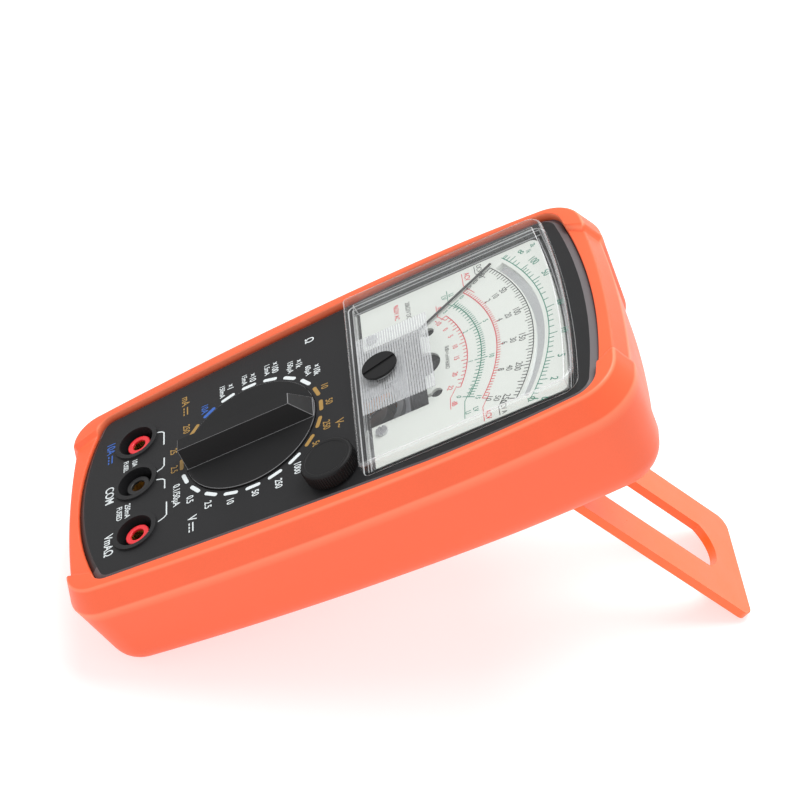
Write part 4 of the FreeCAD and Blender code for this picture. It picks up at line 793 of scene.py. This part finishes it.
at_wheel = Matrix.Translation((wheel_at.x, wheel_at.y, 0))
wheel_profile = [(0, WHEEL_FOOT), (WHEEL_HUB, WHEEL_FOOT), (WHEEL_HUB, WHEEL_LOW), (WHEEL_EDGE, WHEEL_LOW),
                 (WHEEL_CORE, WHEEL_LOW + 0.4), (WHEEL_CORE, WHEEL_HIGH - 0.5),
                 (WHEEL_CORE - 0.15, WHEEL_HIGH - 0.18), (WHEEL_EDGE, WHEEL_HIGH),
                 (WHEEL_DISH + 0.2, WHEEL_HIGH), (WHEEL_DISH, WHEEL_HIGH - 0.12), (0, WHEEL_HIGH - 0.12)]
wheel_core = turned("wheel_core", wheel_profile, WHEEL_SIDES, at_wheel)
rib_plan = [(-RIB_SUNK, -RIB_ROOT), (RIB_OUT - 0.1, -0.1), (RIB_OUT, 0), (RIB_OUT - 0.1, 0.1),
            (-RIB_SUNK, RIB_ROOT)]
rib = prism("rib", rib_plan, WHEEL_LOW + 0.45, WHEEL_HIGH - 0.45)
wheel_ribs = copies_of("wheel_ribs", ring_tree, rib, knob_plastic, at_wheel, Count=WHEEL_RIBS,
                       Radius=WHEEL_CORE, Start=0.0, Step=math.tau / WHEEL_RIBS)
bpy.data.objects.remove(rib)
wheel = smooth(joined("zero_ohm_wheel", wheel_core, wheel_ribs), 30)
ridden(wheel, "adjuster", "knob_plastic", knob_plastic, "ohm_wheel")
component_body = moulded("component_body", (0.18, 0.12, 0.07), 0.45, grain=0.4, depth=0.004, wander=0.3)
dressed(component_body, "ohm_potentiometer")

# ---- Scale plate
# A thin aluminium plate enamelled pale green-white and printed in black, green and red. A strip of mirror
# behind its arched slot lets the reader line the needle up with its own reflection.
ENAMEL = (0.68, 0.7, 0.66)
needle_at = in_meter("needle_swing")
PLATE_TOP = -1.13
SCALE_LEFT, SCALE_SWEEP = 33.0, 65.0
OHM_ARC, VOLT_ARC, AC_ARC, LEAK_ARC, LEVEL_ARC = 58.7, 54.3, 43.7, 39.2, 35.1
STROKE, LEADER_STROKE, ARC_STEPS = 0.26, 0.2, 72
MIDDLE_OHMS = 18.0
LEAK_START, LEAK_SPAN = 0.02, 0.97
LEVEL_START, LEVEL_SPAN = 0.06, 0.84
dial_enamel = moulded("dial_enamel", ENAMEL, 0.42, grain=0.2, depth=0.001, wander=0.012, cloud=20)
mirror = moulded("mirror", (0.86, 0.87, 0.88), 0.06, grain=0.5, depth=0.0, metal=1.0, wander=0.01)
ink_black = ink("ink_black", (0.02, 0.022, 0.022))
ink_green = ink("ink_green", (0.0, 0.19, 0.12))
ink_red = ink("ink_red", (0.62, 0.03, 0.05))
dressed(dial_enamel, "dial_plate")
dressed(mirror, "mirror_band")
dressed(steel, "dial_screws")


def scale_angle(share):
    """Angle from +X of a share of full scale, from 0 at the needle's rest to 1."""
    return math.radians(90 + SCALE_LEFT - SCALE_SWEEP * share)


def on_scale(radius, share):
    angle = scale_angle(share)
    return (needle_at.x + radius * math.cos(angle), needle_at.y + radius * math.sin(angle))


def arc_line(radius, start=0.0, stop=1.0):
    """Printed arc: a thin band about the needle's axis."""
    shares = [start + (stop - start) * k / ARC_STEPS for k in range(ARC_STEPS + 1)]
    rim = [on_scale(radius + STROKE / 2, s) for s in shares]
    plan = rim + [on_scale(radius - STROKE / 2, s) for s in reversed(shares)]
    return prism("arc", list(reversed(plan)), 0, INK_THICK), (0, 0)


def tick(radius, share, length):
    """Printed tick that starts on the arc and runs outwards, or inwards when length is negative."""
    angle = scale_angle(share)
    side = Vector((-math.sin(angle), math.cos(angle))) * STROKE / 2
    foot = Vector(on_scale(radius, share))
    head = foot + Vector((math.cos(angle), math.sin(angle))) * length
    plan = [foot - side, head - side, head + side, foot + side]
    return prism("tick", plan if length > 0 else list(reversed(plan)), 0, INK_THICK), (0, 0)


def figure(text, radius, share, high=2.2):
    """A number that leans with its place on the scale."""
    x, y = on_scale(radius, share)
    return (text, x, y, high, math.degrees(scale_angle(share)) - 90)


def raised(name, solids, words, finish, weight=0.0):
    """Print on the scale plate in one ink."""
    drawn = marks(name + "_lines", solids)
    drawn.data.transform(METER @ Matrix.Translation((0, 0, PLATE_TOP)) @ TO_METER)
    piece = joined(name, drawn, lettering(name + "_words", PLATE_TOP, words, weight=weight))
    return ridden(piece, "case", "dial_enamel", finish)


def leader(*path):
    """Thin line that underlines a scale's name and leads to the scale's end."""
    return traced(path, LEADER_STROKE), (0, 0)


def ohm_share(ohms):
    """An ohm scale runs backwards: full swing at 0 and half swing at the middle resistance."""
    return 1 / (1 + ohms / MIDDLE_OHMS)


def leak_share(part):
    """The leakage scale runs over most of the arc."""
    return LEAK_START + LEAK_SPAN * part


def level_share(part):
    """The decibel scale is shorter still."""
    return LEVEL_START + LEVEL_SPAN * part


ohm_ticks = [k / 2 for k in range(10)] + list(range(5, 10)) + list(range(10, 20, 2)) + list(range(20, 50, 5))
ohm_ticks += list(range(50, 100, 10)) + [100, 150, 200, 300, 500, 1000, 2000]
ohm_named = {0: "0", 2: "2", 5: "5", 10: "10", 20: "20", 50: "50", 100: "100", 300: "∞"}
green = [arc_line(OHM_ARC), arc_line(LEAK_ARC, leak_share(0), leak_share(1))]
green += [tick(OHM_ARC, ohm_share(v), 2.4 if v in ohm_named else 1.5) for v in ohm_ticks]
green += [tick(LEAK_ARC, leak_share(k / 45), 1.9 if k % 15 == 0 else 1.2) for k in range(46)]
green += [tick(LEAK_ARC, leak_share(k / 30), -1.9 if k % 10 == 0 else -1.2) for k in range(31)]
green_words = [figure(text, OHM_ARC + 4.3, ohm_share(v)) for v, text in ohm_named.items()]
green_words += [figure(str(5 * k), LEAK_ARC + 3.0, leak_share(k / 3), 1.5) for k in range(4)]
green_words += [figure(str(3 - k), LEAK_ARC - 3.2, leak_share(k / 3), 1.5) for k in range(4)]
green_words += [("LI", -24.9, 62.6, 1.5, 0), ("LV", -24.9, 60.4, 1.5, 0), ("LV", 26.8, 64.4, 1.5, 0),
                ("LI", 26.8, 62.2, 1.5, 0), ("Ω", 31.8, 79.4, 1.9, 0), ("1k", -29.4, 86.7, 1.4, 0),
                ("2k", -31.2, 88.2, 1.4, 0)]
green += [leader((-27.3, 61.5), (-21.1, 61.5), (-17.7, 64.0)),
          leader((28.7, 61.1), (22.0, 61.8), (17.2, 64.6))]
raised("print_green", green, green_words, ink_green, weight=0.006)

black = [arc_line(VOLT_ARC)]
black += [tick(VOLT_ARC, k / 50, -2.6 if k % 10 == 0 else (-2.0 if k % 5 == 0 else -1.4)) for k in range(51)]
black += [leader((-33.0, 70.5), (-29.6, 70.5), (-26.0, 73.2)),
          leader((33.0, 70.6), (29.6, 70.6), (26.0, 72.6))]
black_words = []
for step, inwards, high in ((50, 3.4, 1.95), (10, 6.0, 1.85), (2, 8.5, 1.8)):
    black_words += [figure(str(step * k), VOLT_ARC - inwards, k / 5, high) for k in range(6)]
black_words += [("DCV A", -30.4, 71.8, 1.5, 0), ("DCV A", 30.4, 71.9, 1.5, 0),
                ("0dB=1mW/600Ω", 1.1, 58.8, 1.2, -4), ("20kΩ/V DC", -26.2, 49.5, 1.4, 0)]
raised("print_black", black, black_words, ink_black)

red = [arc_line(AC_ARC), arc_line(LEVEL_ARC, level_share(0), level_share(1))]
red += [tick(AC_ARC, k / 50, 1.8 if k % 10 == 0 else 1.1) for k in range(51)]
red += [tick(LEVEL_ARC, level_share(k / 22), -1.8 if k % 5 == 0 else -1.1) for k in range(23)]
red += [leader((-32.0, 66.6), (-26.4, 66.6), (-21.4, 69.4)), leader((32.8, 66.2), (27.2, 66.4), (22.6, 68.9)),
        leader((-22.6, 57.8), (-17.8, 57.8), (-14.8, 59.9)), leader((22.8, 57.7), (18.4, 58.0), (14.6, 60.2))]
level_named = {"−10": 0.06, "0": 0.19, "5": 0.3, "10": 0.44, "15": 0.58, "20": 0.76, "22": 0.9}
red_words = [figure(text, LEVEL_ARC - 3.2, share, 1.5) for text, share in level_named.items()]
red_words += [("ACV", -29.9, 68.0, 1.6, 0), ("ACV", 30.8, 67.5, 1.6, 0), ("dB", -20.8, 58.9, 1.5, 0),
              ("dB", 21.1, 58.9, 1.5, 0), ("9kΩ/V AC", -27.4, 46.0, 1.4, 0)]
raised("print_red", red, red_words, ink_red, weight=0.012)

# ---- Moving-coil movement
# A magnet core in a soft-iron yoke, a wire coil on an aluminium former round it, two jewel screws and two
# hairsprings. The needle is a painted aluminium blade, cranked up over the edge of the scale plate.
soft_iron = moulded("soft_iron", (0.35, 0.35, 0.36), 0.42, grain=0.3, depth=0.003, metal=1.0)
magnet = moulded("magnet", (0.2, 0.2, 0.21), 0.35, grain=0.3, depth=0.003, metal=1.0)
frame_plastic = moulded("frame_plastic", (0.46, 0.46, 0.49), 0.5, grain=0.4, depth=0.004)
aluminium = moulded("aluminium", (0.8, 0.8, 0.8), 0.3, grain=0.3, depth=0.002, metal=1.0)
copper_wire = moulded("copper_wire", (0.75, 0.26, 0.09), 0.32, grain=0.12, depth=0.03, metal=1.0)
needle_paint = moulded("needle_paint", (0.03, 0.03, 0.03), 0.4, grain=0.2, depth=0.001)
dressed(soft_iron, "yoke_ring")
dressed(magnet, "magnet_core")
dressed(frame_plastic, "movement_frame", "zero_lever", "front_bridge", "core_supports")
dressed(aluminium, "coil_former", "balance_weights")
dressed(copper_wire, "coil_winding")
dressed(brass, "front_jewel_screw", "rear_jewel_screw")
dressed(steel, "pivot_staffs")
dressed(spring_bronze, "front_hairspring", "rear_hairspring")
dressed(needle_paint, "needle")

# ---- Window cover
# One clear moulding that stands over the scale. A patch of fine straight ribs in it hides the movement, and
# the slotted zero screw turns in a hole in its middle.
RIB_LEFT, RIB_RIGHT, RIB_LOW, RIB_HIGH, RIB_PITCH = -17.0, 15.6, 34.8, 56.0, 0.74
RIB_BASE, RIB_SHARE = 2.76, 0.82
RIB_DEEP, RIB_FOOT = 0.3, 0.15
# Painted highlights on the cover: its eased edges and rounded sides are painted milky white, standing for the
# light lines they show.
EDGE_HIGHLIGHT, ROUND_HIGHLIGHT, ROUND_LOW, ROUND_HIGH = 1.0, 0.16, 0.2, 0.97
GLANCE_POWER, GLANCE_LEAST, GLANCE_MOST = 5.0, 0.04, 0.9


def clear(name, tint, haze, rim=False):
    """See-through plastic: lets light straight through, mirrors at a glance, and is a little milky by haze.
    With rim, its edges are painted milky white as highlights where the piece's own highlight attribute is
    high."""
    made = bpy.data.materials.new(name)
    made.use_nodes = True
    tree = made.node_tree
    tree.nodes.remove(tree.nodes["Principled BSDF"])
    through = node_at(tree, "ShaderNodeBsdfTransparent", Color=(*tint, 1))
    gloss = node_at(tree, "ShaderNodeBsdfGlossy", Color=(1, 1, 1, 1), Roughness=0.05)
    milk_and_highlight = node_at(tree, "ShaderNodeBsdfDiffuse", Color=(0.85, 0.86, 0.87, 1))
    place = node_at(tree, "ShaderNodeTexCoord").outputs["Object"]
    scuff = node_at(tree, "ShaderNodeTexNoise", [("Vector", place)], Scale=900.0, Detail=3.0).outputs["Fac"]
    amount = node_at(tree, "ShaderNodeMapRange", [("Value", scuff)], To_Min=haze * 0.7, To_Max=haze * 1.3)
    if rim:
        edge = node_at(tree, "ShaderNodeAttribute", attribute_name="painted_highlight").outputs["Fac"]
        amount = node_at(tree, "ShaderNodeMath", [(0, amount.outputs[0]), (1, edge)], operation="ADD")
    body = node_at(tree, "ShaderNodeMixShader", [(0, amount.outputs[0]), (1, through.outputs[0]),
                                                 (2, milk_and_highlight.outputs[0])])
    facing = node_at(tree, "ShaderNodeLayerWeight", Blend=0.5).outputs["Facing"]
    steep = node_at(tree, "ShaderNodeMath", [(0, facing)], operation="POWER")
    steep.inputs[1].default_value = GLANCE_POWER
    glance = node_at(tree, "ShaderNodeMapRange", [("Value", steep.outputs[0])], To_Min=GLANCE_LEAST,
                     To_Max=GLANCE_MOST)
    whole = node_at(tree, "ShaderNodeMixShader", [(0, glance.outputs[0]), (1, body.outputs[0]),
                                                  (2, gloss.outputs[0])])
    tree.links.new(whole.outputs[0], tree.nodes["Material Output"].inputs["Surface"])
    return made


clear_plastic = clear("clear_plastic", (0.975, 0.98, 0.98), 0.012, rim=True)
ribbed_plastic = clear("ribbed_plastic", (0.93, 0.93, 0.94), 0.34)
cover = eased("window_cover", 0.25, pierced=True, highlit_edges=True)
# Painted highlight: the eased edges and the rounded sides are marked to be painted milky white.
for face, value in zip(cover.data.polygons, cover.data.attributes["painted_highlight"].data):
    steep = abs(face.normal.dot(out_of_face))
    value.value = max(value.value * EDGE_HIGHLIGHT, ROUND_HIGHLIGHT if ROUND_LOW < steep < ROUND_HIGH else 0.0)
ridden(cover, "case", "clear_plastic", clear_plastic, "window_cover")
ridge = prism("ridge", box_plan(RIB_RIGHT - RIB_LEFT, RIB_PITCH * RIB_SHARE), -RIB_DEEP, 0.0)
for vertex in ridge.data.vertices:
    if vertex.co.z < -RIB_DEEP / 2:
        vertex.co.y *= RIB_FOOT
rib_rows = int((RIB_HIGH - RIB_LOW) / RIB_PITCH) + 1
first_rib = Matrix.Translation(((RIB_LEFT + RIB_RIGHT) / 2, RIB_LOW, RIB_BASE))
ribs = copies_of("cover_ribs", row_tree, ridge, ribbed_plastic, first_rib, Count=rib_rows, Radius=0.0,
                 Start=0.0, Step=RIB_PITCH)
bpy.data.objects.remove(ridge)
ridden(ribs, "case", "clear_plastic", ribbed_plastic)
zero_screw = eased("zero_adjust_screw", 0.15, pierced=True)
ridden(zero_screw, "zero_adjuster", "knob_plastic", knob_plastic, "zero_adjust_screw")

# ---- Circuit board
# Green laminate on three posts behind the dial, with the fuse in its clips, the 10 A shunt, the buzzer and
# rows of small parts soldered to its back.
board_laminate = moulded("board_laminate", (0.03, 0.2, 0.08), 0.35, grain=0.4, depth=0.006, wander=0.1)
fuse_glass = moulded("fuse_glass", (0.75, 0.8, 0.8), 0.1, grain=1.0, depth=0.0, coat=0.5)
dressed(board_laminate, "circuit_board")
dressed(fuse_glass, "glass_fuse")
dressed(steel, "fuse_clips", "cell_springs", "cell_strap")
dressed(copper_wire, "current_shunt")
dressed(black_plastic, "buzzer", "diodes", "battery_snap")
dressed(component_body, "resistors", "capacitors")

# ---- Batteries and wires
# Two penlight cells and a square battery lie in a tray in the rear case, and thin insulated leads run from
# them and from the coil to the board.
cell_jacket = moulded("cell_jacket", (0.03, 0.03, 0.034), 0.25, grain=0.5, depth=0.002, coat=0.4, cloud=20)
wire_jacket = moulded("wire_jacket", (0.5, 0.03, 0.03), 0.4, grain=0.4, depth=0.002)
dressed(frame_plastic, "battery_tray")
dressed(cell_jacket, "penlight_cell_left", "penlight_cell_right", "square_battery")
dressed(wire_jacket, "battery_wires", "movement_wires")
